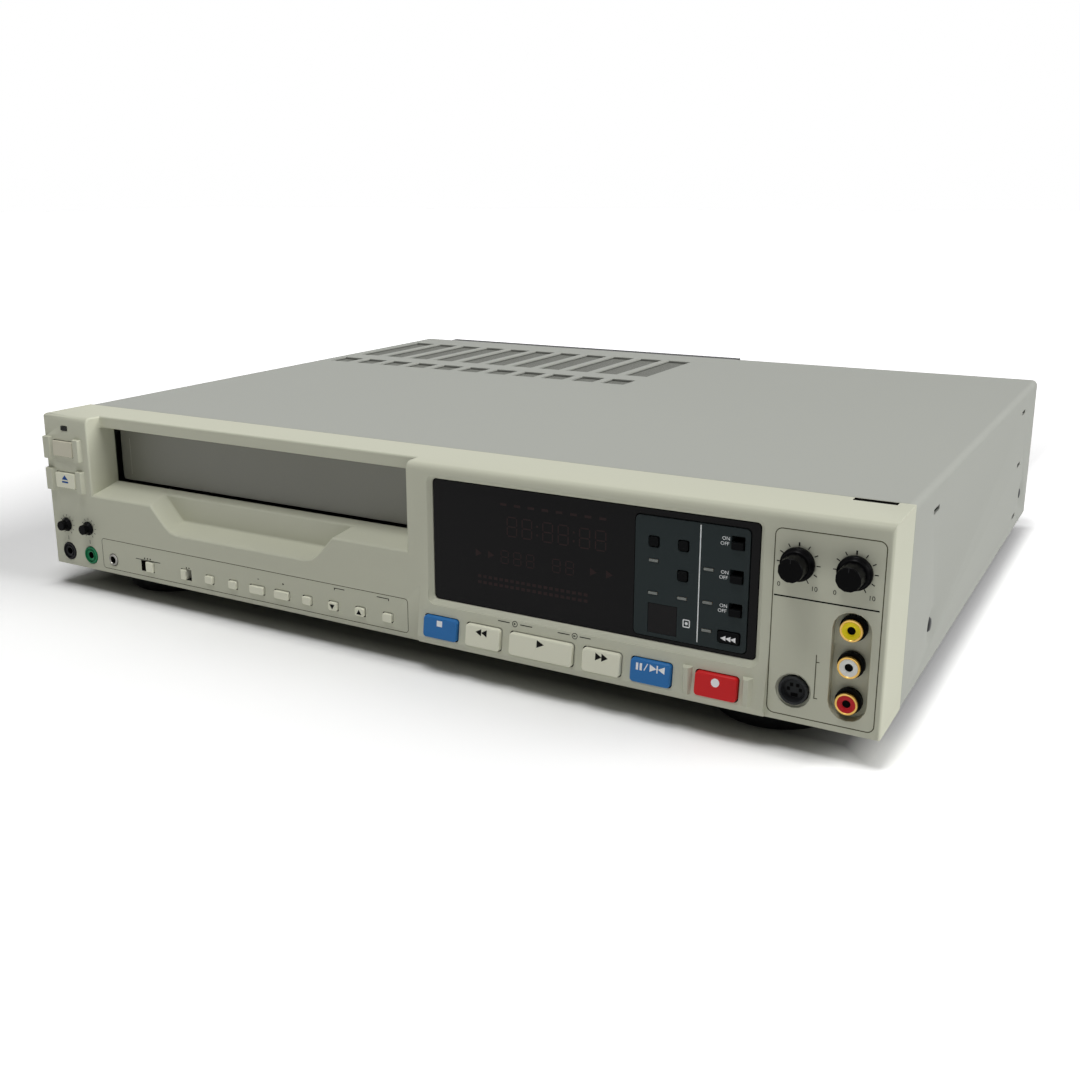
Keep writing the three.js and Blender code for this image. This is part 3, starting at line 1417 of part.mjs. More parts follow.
function footSolid(x, y) {
  const top = -seatGap;
  return turnedZ([
    [0, foot.dish - footHeight], [foot.dishRadius, foot.dish - footHeight],
    [foot.dishRadius + foot.dish, -footHeight], [foot.radius - foot.taper, -footHeight],
    [foot.radius, -footHeight / 2],
    [foot.radius, top], [foot.boss, top], [foot.boss, chassisUnder - seatGap], [0, chassisUnder - seatGap],
  ], x, y, 2 * turnSteps);
}

// Rear panel: a dark moulding with a boxed bay for the terminals and a gland for the mains lead

const bay = {
  leftInset: 20, rightInset: 185, bottom: 10, top: 0.5, depth: 10.5, wall: 2, seam: 0.3, topWall: 3,
};
const bayX = [-halfWidth + bay.leftInset, halfWidth - bay.rightInset];
const bayBack = caseDepth + bay.depth;
const gland = { inset: 60, z: 22, radius: 8, reach: 7, hole: 3.6 };
const terminal = {
  radius: 4.1, bore: 1.6, boreDepth: 8, columns: 4, pitch: 24, firstInset: 34, lowZ: 26, rowPitch: 22,
  bracket: 1.5, aerialInset: 150, aerialRadius: 4.8, aerialPitch: 26,
};
const rearVent = { count: 10, pitch: 7, width: 3, inset: 20, length: 28, topInset: 10.5 };

function terminalPlaces() {
  const phonos = cycle(terminal.columns, (column) => cycle(2, (rank) => ({
    x: bayX[0] + terminal.firstInset + column * terminal.pitch,
    z: terminal.lowZ + rank * terminal.rowPitch,
    radius: terminal.radius,
  })));
  const aerials = cycle(2, (index) => ({
    x: bayX[0] + terminal.aerialInset + index * terminal.aerialPitch,
    z: terminal.lowZ + terminal.rowPitch / 2,
    radius: terminal.aerialRadius,
  }));
  return [...phonos.flat(), ...aerials];
}

function rearPanel() {
  const panelTop = coverUnder - seatGap;
  const side = halfWidth - chassis.sideGap;
  const plate = block([-side, side], rearPlateY, [chassisTop + seatGap, panelTop]);
  const profile = polygon([
    [rearPlateY[0] + weld, bay.bottom], [bayBack, bay.bottom], [bayBack, caseHeight - bay.top],
    [caseDepth + bay.seam, caseHeight - bay.top], [caseDepth + bay.seam, panelTop],
    [rearPlateY[0] + weld, panelTop],
  ]);
  const hollow = block(
    grown(bayX, -bay.wall),
    [rearPlateY[0] - overrun, bayBack - bay.wall],
    [bay.bottom + bay.wall, panelTop - bay.topWall],
  );
  const holes = terminalPlaces().map(({ x, z, radius }) => turnedY(
    rod(radius + seatGap, [bayBack - bay.wall - overrun, bayBack + overrun]), x, z,
  ));
  const glandX = halfWidth - gland.inset;
  const glandRing = turnedY(
    rod(gland.radius, [rearPlateY[0] + weld, caseDepth + gland.reach]), glandX, gland.z,
  );
  const glandHole = turnedY(
    rod(gland.hole, [rearPlateY[0] - overrun, caseDepth + gland.reach + overrun]), glandX, gland.z,
  );
  const vents = cycle(rearVent.count, (index) => {
    const x = bayX[1] + rearVent.inset + index * rearVent.pitch;
    const top = panelTop - rearVent.topInset;
    return block([x, x + rearVent.width], grown(rearPlateY, overrun), [top - rearVent.length, top]);
  });
  return cut(join(plate, prismX(profile, bayX), glandRing), hollow, holes, glandHole, vents);
}

function rearTerminals() {
  const places = terminalPlaces();
  const bracketY = [bayBack - bay.wall - seatGap - terminal.bracket, bayBack - bay.wall - seatGap];
  const xs = places.map(({ x }) => x);
  const zs = places.map(({ z }) => z);
  const bracket = block(
    grown([Math.min(...xs), Math.max(...xs)], terminal.radius * 2),
    bracketY,
    grown([Math.min(...zs), Math.max(...zs)], terminal.radius * 2),
  );
  const tip = caseDepth + rearReach;
  const barrels = places.map(({ x, z, radius }) => turnedY(rod(radius, [bracketY[0] + weld, tip]), x, z));
  const bores = places.map(({ x, z }) => turnedY(
    rod(terminal.bore, [tip - terminal.boreDepth, tip + overrun]), x, z, pinSteps,
  ));
  return cut(join(bracket, barrels), bores);
}

// Cassette door: a painted plate that swings inwards on pins at its top corners

const doorX = [slotLeft + door.sidePlay, slotRight - door.sidePlay];
const doorZ = [sillBack + sillPlay, hingeZ + door.above];

function cassetteDoor() {
  const plate = prismY(roundedRect(doorX, doorZ, door.corner / 2), [doorFront, doorBack]);
  const pin = (range) => turnedX(rod(door.pinRadius, range), hingeY, hingeZ, pinSteps);
  return join(
    plate,
    pin([doorX[0] - door.pinReach, doorX[0] + overrun]),
    pin([doorX[1] - overrun, doorX[1] + door.pinReach]),
  );
}

function frontBezel() {
  const body = join(
    bezelBody(), slotTunnel(), wellShell(), keyZoneSwell(), lineShell(), guards(), boardBosses(),
  );
  const opened = cut(
    body,
    slotOpening(), wellOpening(), windowOpening(), lineOpening(), dinHole(), topSlotCut(),
    keys.filter((key) => key.face !== 'panel').map(keyOpening),
    sliders.filter((item) => item.back === wallBack).map(sliderOpening),
    lamps.filter((item) => item.back === wallBack).map(lampHole),
    knobs.map(knobHole),
    miniJackHoles(),
  );
  return join(opened, doorEars());
}

// The assembly

piece('front_bezel', frontBezel(), finish.bezelPlastic);
piece('display_window', displayWindow(), finish.smokedWindow);
piece('switch_panel', switchPanel(), finish.slatePlastic);
piece('front_board', frontBoard(), finish.boardGreen);
for (const key of keys) piece(`${key.name}_button`, keySolid(key), key.material);
for (const item of sliders) piece(`${item.name}_switch`, sliderKnob(item), item.material);
for (const knob of knobs) piece(knob.name, knobSolid(knob), finish.blackPlastic);
for (const jack of miniJacks) piece(jack.name, miniJack(jack), jack.material);
piece('line_jacks', lineJacks(), finish.gold);
piece('s_video_jack', dinSocket(), finish.blackPlastic);
piece('cassette_door', cassetteDoor(), finish.doorPaint);

piece('top_cover', topCover(), finish.coverPaint);
piece('vent_screen', ventScreen(), finish.screenGrey);
piece('bottom_chassis', bottomChassis(), finish.zincSteel);
piece('rear_panel', rearPanel(), finish.blackPlastic);
piece('rear_terminals', rearTerminals(), finish.gold);
const footX = halfWidth - foot.sideInset;
piece('front_left_foot', footSolid(-footX, foot.frontInset), finish.rubber);
piece('front_right_foot', footSolid(footX, foot.frontInset), finish.rubber);
piece('rear_left_foot', footSolid(-footX, caseDepth - foot.rearInset), finish.rubber);
piece('rear_right_foot', footSolid(footX, caseDepth - foot.rearInset), finish.rubber);

piece('transport_deck', transportDeck(), finish.zincSteel);
piece('lower_drum', lowerDrum(), finish.aluminium);
piece('upper_drum', upperDrum(), finish.aluminium);
piece('capstan', capstanSolid(), finish.screwSteel);
piece('supply_reel', reelTable(reelXs[0]), finish.whitePlastic);
piece('takeup_reel', reelTable(reelXs[1]), finish.whitePlastic);
piece('carriage_frame', carriageFrame(), finish.zincSteel);
piece('carriage_slider', carriageSlider(), finish.blackPlastic);
piece('cassette_holder', cassetteHolder(), finish.zincSteel);
piece('loading_pinion', loadingPinion(), finish.whitePlastic);
piece('main_board', mainBoardSolid(), finish.boardGreen);
piece('power_supply', powerSupply(), finish.boardBrown);

recorder.position.set(0, (knobReach - rearReach - caseDepth) / 2, footHeight);

export default recorder;
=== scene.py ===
# A front-loading video cassette recorder for half-inch cassettes. Each section dresses one piece of
# it, or a group of like pieces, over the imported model. Places are given in millimetres from the front
# face: X to the right of the middle, Y backwards from the face, Z up from the underside of the moulding.
import json
import math

import bmesh
import bpy
from mathutils import Matrix, Vector

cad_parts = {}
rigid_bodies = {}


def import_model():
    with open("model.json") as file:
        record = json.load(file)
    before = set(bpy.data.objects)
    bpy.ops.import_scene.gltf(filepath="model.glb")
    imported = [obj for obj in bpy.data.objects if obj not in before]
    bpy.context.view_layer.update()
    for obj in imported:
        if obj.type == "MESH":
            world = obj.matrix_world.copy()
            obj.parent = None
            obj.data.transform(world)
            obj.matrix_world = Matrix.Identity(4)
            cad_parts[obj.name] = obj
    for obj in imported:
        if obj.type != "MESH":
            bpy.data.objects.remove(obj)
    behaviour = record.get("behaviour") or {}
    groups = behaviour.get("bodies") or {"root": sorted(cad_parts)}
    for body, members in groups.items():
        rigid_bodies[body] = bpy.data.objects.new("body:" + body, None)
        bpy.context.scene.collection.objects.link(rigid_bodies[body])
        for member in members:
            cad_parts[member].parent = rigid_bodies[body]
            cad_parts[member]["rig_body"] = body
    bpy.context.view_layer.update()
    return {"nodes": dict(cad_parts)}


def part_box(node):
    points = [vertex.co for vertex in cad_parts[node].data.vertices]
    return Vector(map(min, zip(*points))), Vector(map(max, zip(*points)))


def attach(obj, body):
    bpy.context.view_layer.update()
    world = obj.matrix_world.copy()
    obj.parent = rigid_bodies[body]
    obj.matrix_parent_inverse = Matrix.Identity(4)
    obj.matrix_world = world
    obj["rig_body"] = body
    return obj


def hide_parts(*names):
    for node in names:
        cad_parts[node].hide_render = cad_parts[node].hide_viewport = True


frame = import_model()


# Front moulding: a single injection moulding in warm grey ABS with a fine sparked grain, clipped over
# the front of the pan and under the cover's front edge. Its edges are softened by the mould; the
# mouth's cheek, the sill and the finger well have the larger radii.

MM = 0.001
FACE_BACK = 180.5  # the frame's zero lies this far behind the front face
FOOT_HEIGHT = 12


def colour(red, green, blue):
    parts = [part / 255 for part in (red, green, blue)]
    return [part / 12.92 if part <= 0.04045 else ((part + 0.055) / 1.055) ** 2.4 for part in parts] + [1]


def shaded(shade, share):
    return [min(part * share, 1) for part in shade[:3]] + [1]


SPECK_DARK, SPECK_LIGHT = [0.45, 0.45, 0.45, 1], [0.55, 0.55, 0.55, 1]  # grain laid over a colour


class Wire:
    """A shader socket that adds Math nodes when it is used in sums and products."""

    def __init__(self, finish, socket):
        self.finish = finish
        self.socket = socket

    def maths(self, operation, *values):
        return self.finish.add("Math", {"operation": operation}, dict(enumerate(values)))

    def __add__(self, other):
        return self.maths("ADD", self, other)

    def __radd__(self, other):
        return self.maths("ADD", other, self)

    def __sub__(self, other):
        return self.maths("SUBTRACT", self, other)

    def __rsub__(self, other):
        return self.maths("SUBTRACT", other, self)

    def __mul__(self, other):
        return self.maths("MULTIPLY", self, other)

    def __rmul__(self, other):
        return self.maths("MULTIPLY", other, self)


class Finish:
    """A material in the making. Its add method makes any node and gives back one of its outputs."""

    def __init__(self, name, **constants):
        self.material = bpy.data.materials.new(name)
        self.material.use_nodes = True
        self.tree = self.material.node_tree
        self.shader = self.tree.nodes["Principled BSDF"]
        for socket, value in constants.items():
            self.shader.inputs[socket.replace("_", " ")].default_value = value
        self.place = self.add("TexCoord", output="Object")

    def add(self, kind, settings=None, sockets=None, output=0):
        node = self.tree.nodes.new("ShaderNode" + kind)
        for name, value in (settings or {}).items():
            setattr(node, name, value)
        for name, value in (sockets or {}).items():
            if isinstance(value, Wire):
                self.tree.links.new(value.socket, node.inputs[name])
            else:
                node.inputs[name].default_value = value
        return Wire(self, node.outputs[output])

    def noise(self, scale, detail=2, rough=0.5, stretch=(1, 1, 1)):
        spot = self.add("Mapping", {}, {"Vector": self.place, "Scale": stretch})
        return self.add(
            "TexNoise", {}, {"Vector": spot, "Scale": scale, "Detail": detail, "Roughness": rough}
        )

    def blend(self, share, first, second, mode="MIX"):
        """Mixes two colours. Sockets 6 and 7 of a Mix node take them, and output 2 gives the result."""
        return self.add(
            "Mix", {"data_type": "RGBA", "blend_type": mode}, {0: share, 6: first, 7: second}, output=2
        )

    def bump(self, height, strength, distance=0.0001):
        return self.add("Bump", {}, {"Strength": strength, "Distance": distance, "Height": height})

    def feed(self, **wires):
        for socket, wire in wires.items():
            self.tree.links.new(wire.socket, self.shader.inputs[socket.replace("_", " ")])
        return self.material


def moulded(name, shade, roughness, grain=0.12, grain_scale=1400, drift=0.03, specular=0.25):
    """Moulded plastic: slow drift of colour, a little dust in the grain, and a sparked grain."""
    finish = Finish(name, IOR=1.46, Specular_IOR_Level=specular)
    slow = finish.noise(9, 3)
    fine = finish.noise(grain_scale, 2, 0.6)
    base = finish.blend(slow, shaded(shade, 1 - drift), shaded(shade, 1 + drift))
    speck = finish.blend((fine - 0.5) * 0.35 + 0.5, SPECK_DARK, SPECK_LIGHT)
    return finish.feed(
        Base_Color=finish.blend(0.5, base, speck, "OVERLAY"),
        Roughness=slow * 0.1 + (roughness - 0.05),
        Normal=finish.bump(fine, grain),
    )


SMOOTH_TURN = 35  # degrees: edges with a sharper turn are shaded sharp


def rounded(piece, width, steps=2, by_weight=False, sharp=SMOOTH_TURN):
    """Rounds a piece's edges: those sharper than a turn, or those that carry a weight."""
    rounding = piece.modifiers.new("rounding", "BEVEL")
    rounding.limit_method = "WEIGHT" if by_weight else "ANGLE"
    rounding.angle_limit = math.radians(sharp)
    rounding.width = width * MM
    rounding.segments = steps
    rounding.use_clamp_overlap = False
    rounding.loop_slide = False
    rounding.harden_normals = True
    return piece


def placed(name, shape, material, body, replaces=()):
    """Turns a shape, in millimetres from the front face, into a finished piece on its body."""
    bmesh.ops.scale(shape, vec=(MM, MM, MM), verts=shape.verts)
    bmesh.ops.translate(shape, vec=Vector((0, -FACE_BACK, FOOT_HEIGHT)) * MM, verts=shape.verts)
    mesh = bpy.data.meshes.new(name)
    shape.to_mesh(mesh)
    shape.free()
    mesh.materials.append(material)
    mesh.shade_smooth()
    mesh.set_sharp_from_angle(angle=math.radians(SMOOTH_TURN))
    piece = bpy.data.objects.new(name, mesh)
    bpy.context.scene.collection.objects.link(piece)
    if replaces:
        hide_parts(*replaces)
    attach(piece, body)
    return piece


WELD = 0.03  # corners as close as this are made one
FLAT_TURN = 0.8  # degrees: edges between faces as flat as this go


def copied(node):
    """A CAD node's shape in millimetres from the front face, welded and cleared of its flat cuts."""
    shape = bmesh.new()
    shape.from_mesh(frame["nodes"][node].data)
    bmesh.ops.remove_doubles(shape, verts=shape.verts, dist=WELD * MM)
    bmesh.ops.dissolve_degenerate(shape, edges=shape.edges, dist=WELD * MM)
    bmesh.ops.dissolve_limit(
        shape, angle_limit=math.radians(FLAT_TURN), verts=shape.verts, edges=shape.edges,
        use_dissolve_boundaries=False,
    )
    bmesh.ops.translate(shape, vec=Vector((0, FACE_BACK, -FOOT_HEIGHT)) * MM, verts=shape.verts)
    bmesh.ops.scale(shape, vec=(1 / MM, 1 / MM, 1 / MM), verts=shape.verts)
    return shape


def dressed(node, material, edge=0.3, steps=2, sharp=30, soften=(), skip=None, painted_shade_test=None):
    """A finished copy of a CAD node, its edges rounded by the mould or the press.
    soften lists (test of the edge's two ends in millimetres, radius) for the larger radii,
    skip picks edges that stay sharp, and the last test picks faces that get painted shade: a near-black
    finish where the walls of holes lie unlit."""
    shape = copied(node)
    for face in shape.faces:
        if painted_shade_test and painted_shade_test(face):
            face.material_index = 1
    widest = max([edge] + [radius for test, radius in soften])
    weight = shape.edges.layers.float.new("bevel_weight_edge")
    for line in shape.edges:
        if len(line.link_faces) != 2 or line.calc_face_angle(0) < math.radians(sharp):
            continue
        ends = [end.co for end in line.verts]
        if skip and skip(*ends):
            continue
        line[weight] = max([edge] + [size for test, size in soften if test(*ends)]) / widest
    piece = placed(node + "_finished", shape, material, frame["nodes"][node]["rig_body"], [node])
    if painted_shade_test:
        piece.data.materials.append(hole_painted_shade)
    return rounded(piece, widest, steps, by_weight=True)


bezel_plastic = moulded("bezel_plastic", colour(202, 203, 184), 0.55)
MOUTH_LEFT, MOUTH_RIGHT, MOUTH_DEEP = -183, 12.5, 9.5
WELL_LEFT, WELL_RIGHT, WELL_TOP, WELL_DEEP = -145, -25, 45, 13
KEY_ZONE_LOW, KEY_ZONE_TOP = 3.5, 26
KEY_SLOPE = 2.8 / 22.5


def mouth_edge(a, b):
    return all(
        MOUTH_LEFT - 0.5 < end.x < MOUTH_RIGHT + 0.5 and end.z > KEY_ZONE_TOP and end.y < MOUTH_DEEP
        for end in (a, b)
    )


def well_edge(a, b):
    return all(
        WELL_LEFT < end.x < WELL_RIGHT and KEY_ZONE_TOP < end.z < WELL_TOP and end.y < WELL_DEEP
        for end in (a, b)
    )


# Painted shade: a near-black finish for the faces of holes and slots that lie unlit, in place of their shade.
hole_painted_shade = moulded("hole_painted_shade", colour(24, 23, 21), 0.7, grain=0.1, specular=0.05)
SWITCH_RUN = 2  # a switch's slot is longer than the switch by this at either end
key_places = []
for node in frame["nodes"]:
    if node.endswith(("_button", "_switch")):
        low, high = (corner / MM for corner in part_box(node))
        run = SWITCH_RUN if node.endswith("_switch") else 0
        key_places.append((low.x - run, high.x + run, low.z - FOOT_HEIGHT, high.z - FOOT_HEIGHT))


def zone_face(z):
    """The Y of the front at a height: the key zone swells forwards down to its lower edge."""
    return -KEY_SLOPE * (KEY_ZONE_TOP - min(max(z, KEY_ZONE_LOW), KEY_ZONE_TOP))


def in_key_hole(*corners):
    """Whether corners lie in a hole in which a key or a switch stands: each is inside the key's flange
    and not proud of the face round it."""
    return all(corner.y > zone_face(corner.z) - 0.1 for corner in corners) and any(
        all(left < corner.x < right and low < corner.z < high for corner in corners)
        for left, right, low, high in key_places
    )


CORNER_X, CORNER_DEEP = 213.4, 3.4
GUARD_LEFT, GUARD_RIGHT, GUARD_LOW, GUARD_TOP = -209, -192.8, 35, 70
ZONE_MIDDLE, WEDGE_NEAR, WEDGE_FAR = 95.68, 78, 78.4


def sharp_end(a, b):
    """The rounded outer corners, the key zone's thin wedge ends, the rims of the key holes and those
    beside the guards of the power and eject keys, which stay as they are."""
    corner = all(abs(end.x) > CORNER_X and end.y < CORNER_DEEP for end in (a, b))
    rim = all(
        GUARD_LEFT < end.x < GUARD_RIGHT and GUARD_LOW < end.z < GUARD_TOP and end.y > -0.1 for end in (a, b)
    )
    wedge = all(
        WEDGE_NEAR < abs(end.x - ZONE_MIDDLE) < WEDGE_FAR and end.z < KEY_ZONE_TOP for end in (a, b)
    )
    return corner or rim or wedge or in_key_hole(a, b)


BEZEL_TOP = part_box("front_bezel")[1].z / MM - FOOT_HEIGHT
SLOT_LEFT, SLOT_RIGHT, SLOT_FRONT, SLOT_BACK, SLOT_DEEP = 192.9, 209.1, 27.2, 30.9, 0.9


def hole_wall(face):
    """The walls of the key holes, and the walls and floor of the short slot in the top edge, which get
    painted shade.
    """
    spots = [corner.co for corner in face.verts]
    in_slot = all(
        SLOT_LEFT < spot.x < SLOT_RIGHT and SLOT_FRONT < spot.y < SLOT_BACK and spot.z > BEZEL_TOP - SLOT_DEEP
        for spot in spots
    )
    return in_slot or (abs(face.normal.y) < 0.5 and in_key_hole(*spots))


# The walls of the key holes and of the short slot in the top edge get the painted shade.
dressed(
    "front_bezel", bezel_plastic, edge=0.25, steps=3,
    soften=[(mouth_edge, 1.0), (well_edge, 0.9)], skip=sharp_end, painted_shade_test=hole_wall,
)


# Printed lines of the front moulding: thin warm grey frames round the lower controls and the input
# column, black ticks and numbers of the dials. The real ones are pad-printed ink, here a film of it.

INK_PROUD, INK_SUNK = 0.04, 0.12


def flat_at(depth):
    """The face of a flat piece, which has the same Y at every height."""
    return lambda z: depth


def stroke(a, b, width):
    """A straight line of ink between two spots (x, z)."""
    (ax, az), (bx, bz) = a, b
    run = math.hypot(bx - ax, bz - az)
    nx, nz = (az - bz) / run * width / 2, (bx - ax) / run * width / 2
    return [(ax - nx, az - nz), (bx - nx, bz - nz), (bx + nx, bz + nz), (ax + nx, az + nz)]


def arc(x, z, radius, start, end, width, steps):
    """A bent line of ink round a centre, between two angles in degrees, as a row of short quads."""
    turns = [math.radians(start + (end - start) * step / steps) for step in range(steps + 1)]
    rims = [
        [(x + (radius + side) * math.cos(turn), z + (radius + side) * math.sin(turn)) for turn in turns]
        for side in (-width / 2, width / 2)
    ]
    return [[rims[0][i], rims[0][i + 1], rims[1][i + 1], rims[1][i]] for i in range(steps)]


def disc(x, z, radius, steps=20):
    turns = [2 * math.pi * step / steps for step in range(steps)]
    return [(x + radius * math.cos(turn), z + radius * math.sin(turn)) for turn in turns]


def framed(left, right, low, high, radius, width):
    """A rounded frame of four strokes and four arcs."""
    lines = [
        stroke((left + radius, low), (right - radius, low), width),
        stroke((left + radius, high), (right - radius, high), width),
        stroke((left, low + radius), (left, high - radius), width),
        stroke((right, low + radius), (right, high - radius), width),
    ]
    corners = (
        (right, high, 0, -1, -1), (left, high, 90, 1, -1), (left, low, 180, 1, 1), (right, low, 270, -1, 1)
    )
    for x, z, start, across, up in corners:
        lines += arc(x + across * radius, z + up * radius, radius, start, start + 90, width, 5)
    return lines


def lettered(text, x, z, size, face):
    """A word or number as flat shapes in the front's plane, centred on x and z."""
    curve = bpy.data.curves.new(text, "FONT")
    curve.body = text
    curve.size = size
    curve.align_x, curve.align_y = "CENTER", "CENTER"
    curve.resolution_u = 3
    holder = bpy.data.objects.new(text, curve)
    bpy.context.scene.collection.objects.link(holder)
    bpy.context.view_layer.update()
    flat = bpy.data.meshes.new_from_object(holder)
    bpy.data.objects.remove(holder)
    shape = bmesh.new()
    shape.from_mesh(flat)
    bpy.data.meshes.remove(flat)
    bmesh.ops.rotate(shape, matrix=Matrix.Rotation(math.radians(90), 3, "X"), verts=shape.verts)
    for corner in shape.verts:
        corner.co.x, corner.co.z = corner.co.x + x, corner.co.z + z
        corner.co.y = face(corner.co.z)
    return shape


def inked(name, outlines, material, body, face=flat_at(0), words=()):
    """A film of ink: each outline is a ring of (x, z) points on the face whose Y face(z) gives."""
    shape = bmesh.new()
    for outline in outlines:
        shape.faces.new([shape.verts.new((x, face(z), z)) for x, z in outline])
    for word in words:
        mesh = bpy.data.meshes.new("word")
        word.to_mesh(mesh)
        word.free()
        shape.from_mesh(mesh)
        bpy.data.meshes.remove(mesh)
    bmesh.ops.translate(shape, vec=(0, INK_SUNK, 0), verts=shape.verts)
    front = bmesh.ops.extrude_face_region(shape, geom=shape.faces[:], use_keep_orig=True)["geom"]
    bmesh.ops.translate(
        shape, vec=(0, -INK_SUNK - INK_PROUD, 0),
        verts=[part for part in front if isinstance(part, bmesh.types.BMVert)],
    )
    bmesh.ops.recalc_face_normals(shape, faces=shape.faces)
    return placed(name, shape, material, body)


def clouded(
    name, dark, light, cells, roughness, relief=0.0, detail=2, rough=0.5, stretch=(1, 1, 1), **constants
):
    """A finish that clouds between two colours, with its roughness and a trace of relief following.
    roughness is (how much it varies, its lowest value)."""
    finish = Finish(name, **constants)
    cloud = finish.noise(cells, detail, rough, stretch)
    varies, lowest = roughness
    wires = {"Base_Color": finish.blend(cloud, dark, light), "Roughness": cloud * varies + lowest}
    if relief:
        wires["Normal"] = finish.bump(cloud, relief)
    return finish.feed(**wires)


def ink(name, shade):
    """Pad-printed ink, a little worn and uneven."""
    return clouded(
        name, shaded(shade, 0.9), shaded(shade, 1.15), 600, (0.2, 0.4), 0.05, Specular_IOR_Level=0.06
    )


line_ink = ink("line_ink", colour(82, 80, 62))
dark_ink = ink("dark_ink", colour(20, 20, 19))
inked(
    "printed_frames",
    framed(-178.9, 12.0, 2.5, 18.1, 1.6, 0.26) + framed(173.5, 212.65, 2.6, 73.5, 2.6, 0.36)
    + [stroke((190.8, 28.2), (190.8, 11.4), 0.34), stroke((190.8, 25.4), (192.0, 25.4), 0.34),
       stroke((190.6, 11.4), (192.0, 11.4), 0.34)],
    line_ink, "case",
)

LEVEL_KNOBS = {"rec_level_left_knob": 182.3, "rec_level_right_knob": 202.5}
LEVEL_ROW = 61.2
SMALL_KNOBS = {"mic_level_knob": -204.0, "phones_level_knob": -187.9}
SMALL_ROW = 22.1


def dial(x, z, usual, upright):
    """A dial's eleven ticks, clockwise from its lowest mark; a tick is (near, far, width)."""
    ticks = []
    for step in range(11):
        turn = math.radians(240 - 30 * step)
        near, far, width = upright if step == 5 else usual
        ends = [(x + reach * math.cos(turn), z + reach * math.sin(turn)) for reach in (near, far)]
        ticks.append(stroke(*ends, width))
    return ticks


scale_marks = [stroke((174.0, 48.3), (211.6, 48.3), 0.55)]
scale_numbers = []
for knob_x in LEVEL_KNOBS.values():
    scale_marks += dial(knob_x, LEVEL_ROW, (6.5, 7.9, 0.36), (6.4, 7.9, 0.6))
    scale_numbers += [
        lettered("0", knob_x - 6.75, 52.55, 2.5, flat_at(0)),
        lettered("10", knob_x + 6.15, 52.55, 2.5, flat_at(0)),
    ]
for knob_x in SMALL_KNOBS.values():
    scale_marks += dial(knob_x, SMALL_ROW, (4.3, 5.3, 0.24), (4.3, 5.3, 0.24))
    scale_marks.append(stroke((knob_x, 15.8), (knob_x, 13.7), 0.3))

# The plain signs of the row under the mouth: a bar, a minus, a plus, five dots and two elbows
scale_marks += [stroke((-155.0, 11.0), (-138.0, 11.0), 0.35), stroke((-74.15, 13.3), (-73.2, 13.3), 0.3)]
scale_marks += [stroke((-59.0, 13.3), (-58.0, 13.3), 0.3), stroke((-58.5, 13.8), (-58.5, 12.8), 0.3)]
for dot_x, dot_z in ((-148.7, 11.9), (-146.75, 11.9), (-144.8, 11.9), (-120.1, 11.4), (-118.35, 11.4)):
    scale_marks.append(disc(dot_x, dot_z, 0.42, 12))
for low_x, end_x in ((-28.2, -22.5), (1.85, -4.6)):
    scale_marks += [stroke((low_x, 15.5), (low_x, 16.7), 0.35), stroke((low_x, 16.5), (end_x, 16.5), 0.35)]
inked("printed_scales", scale_marks, dark_ink, "case", words=scale_numbers)


# Display window: a smoked acrylic plate, polished and almost black, snapped behind the bevelled frame.
# Behind it the tube's unlit segments show as faint dark red, here a film in its front.

window_glass = Finish("window_glass", IOR=1.49, Specular_IOR_Level=0.12)
haze = window_glass.noise(14, 3)
smoked = window_glass.feed(
    Base_Color=window_glass.blend(haze, colour(14, 14, 15), colour(21, 20, 21)),
    Roughness=haze * 0.08 + 0.1,
    Normal=window_glass.bump(window_glass.noise(30, 1), 0.02),
)
dressed("display_window", smoked, edge=0.15, steps=2)

PANE_FRONT = 2.0


def digit_segments(x, z, width, high, wide=0.55):
    """The seven unlit segments of one digit, centred on x and z."""
    left, right, low, top = x - width / 2, x + width / 2, z - high / 2, z + high / 2
    gap = wide * 0.7
    strokes = [stroke((left + gap, level), (right - gap, level), wide) for level in (low, z, top)]
    for side in (left, right):
        strokes.append(stroke((side, low + gap), (side, z - gap), wide))
        strokes.append(stroke((side, z + gap), (side, top - gap), wide))
    return strokes


# The clock and its colons, the days over it, the level meter's bars, arrowheads and the counter
ghosts = []
for digit_x in (63.5, 70.5, 80.0, 87.0, 96.5, 103.5):
    ghosts += digit_segments(digit_x, 57.5, 4.4, 8.0)
for colon_x in (75.2, 91.7):
    ghosts += [disc(colon_x, 59.3, 0.5, 10), disc(colon_x, 55.7, 0.5, 10)]
for day in range(8):
    ghosts.append(stroke((58 + day * 6.4, 66.5), (61 + day * 6.4, 66.5), 1.1))
METER_STEP = 2.6
for row in range(2):
    bar_z = 31.6 + row * METER_STEP
    for column in range(20):
        run = column * METER_STEP
        ghosts.append(stroke((47 + run, bar_z), (48.7 + run, bar_z), 1.3))
for sign_x in (46, 52, 99, 106):
    ghosts.append([(sign_x, 42.5), (sign_x + 3, 44.2), (sign_x, 45.9)])
for digit_x in (60.0, 66.0, 72.0, 84.0, 90.0):
    ghosts += digit_segments(digit_x, 44.2, 3.4, 5.4, 0.45)
unlit_red = clouded(
    "unlit_segments", colour(34, 23, 23), colour(44, 26, 26), 400, (0.1, 0.14),
    IOR=1.49, Specular_IOR_Level=0.16,
)
inked("display_ghosts", ghosts, unlit_red, "case", flat_at(PANE_FRONT))


# Switch panel: a slate satin moulding let into the window from the front. A dark sensor window lies in
# a shallow well in it, and six small grey lamp lenses stand in slots.

slate_plastic = moulded("slate_plastic", colour(45, 53, 54), 0.5, grain=0.08, drift=0.04, specular=0.12)
dressed("switch_panel", slate_plastic, edge=0.18, steps=2)

PANEL_FRONT = 1.6
panel_face = flat_at(PANEL_FRONT)


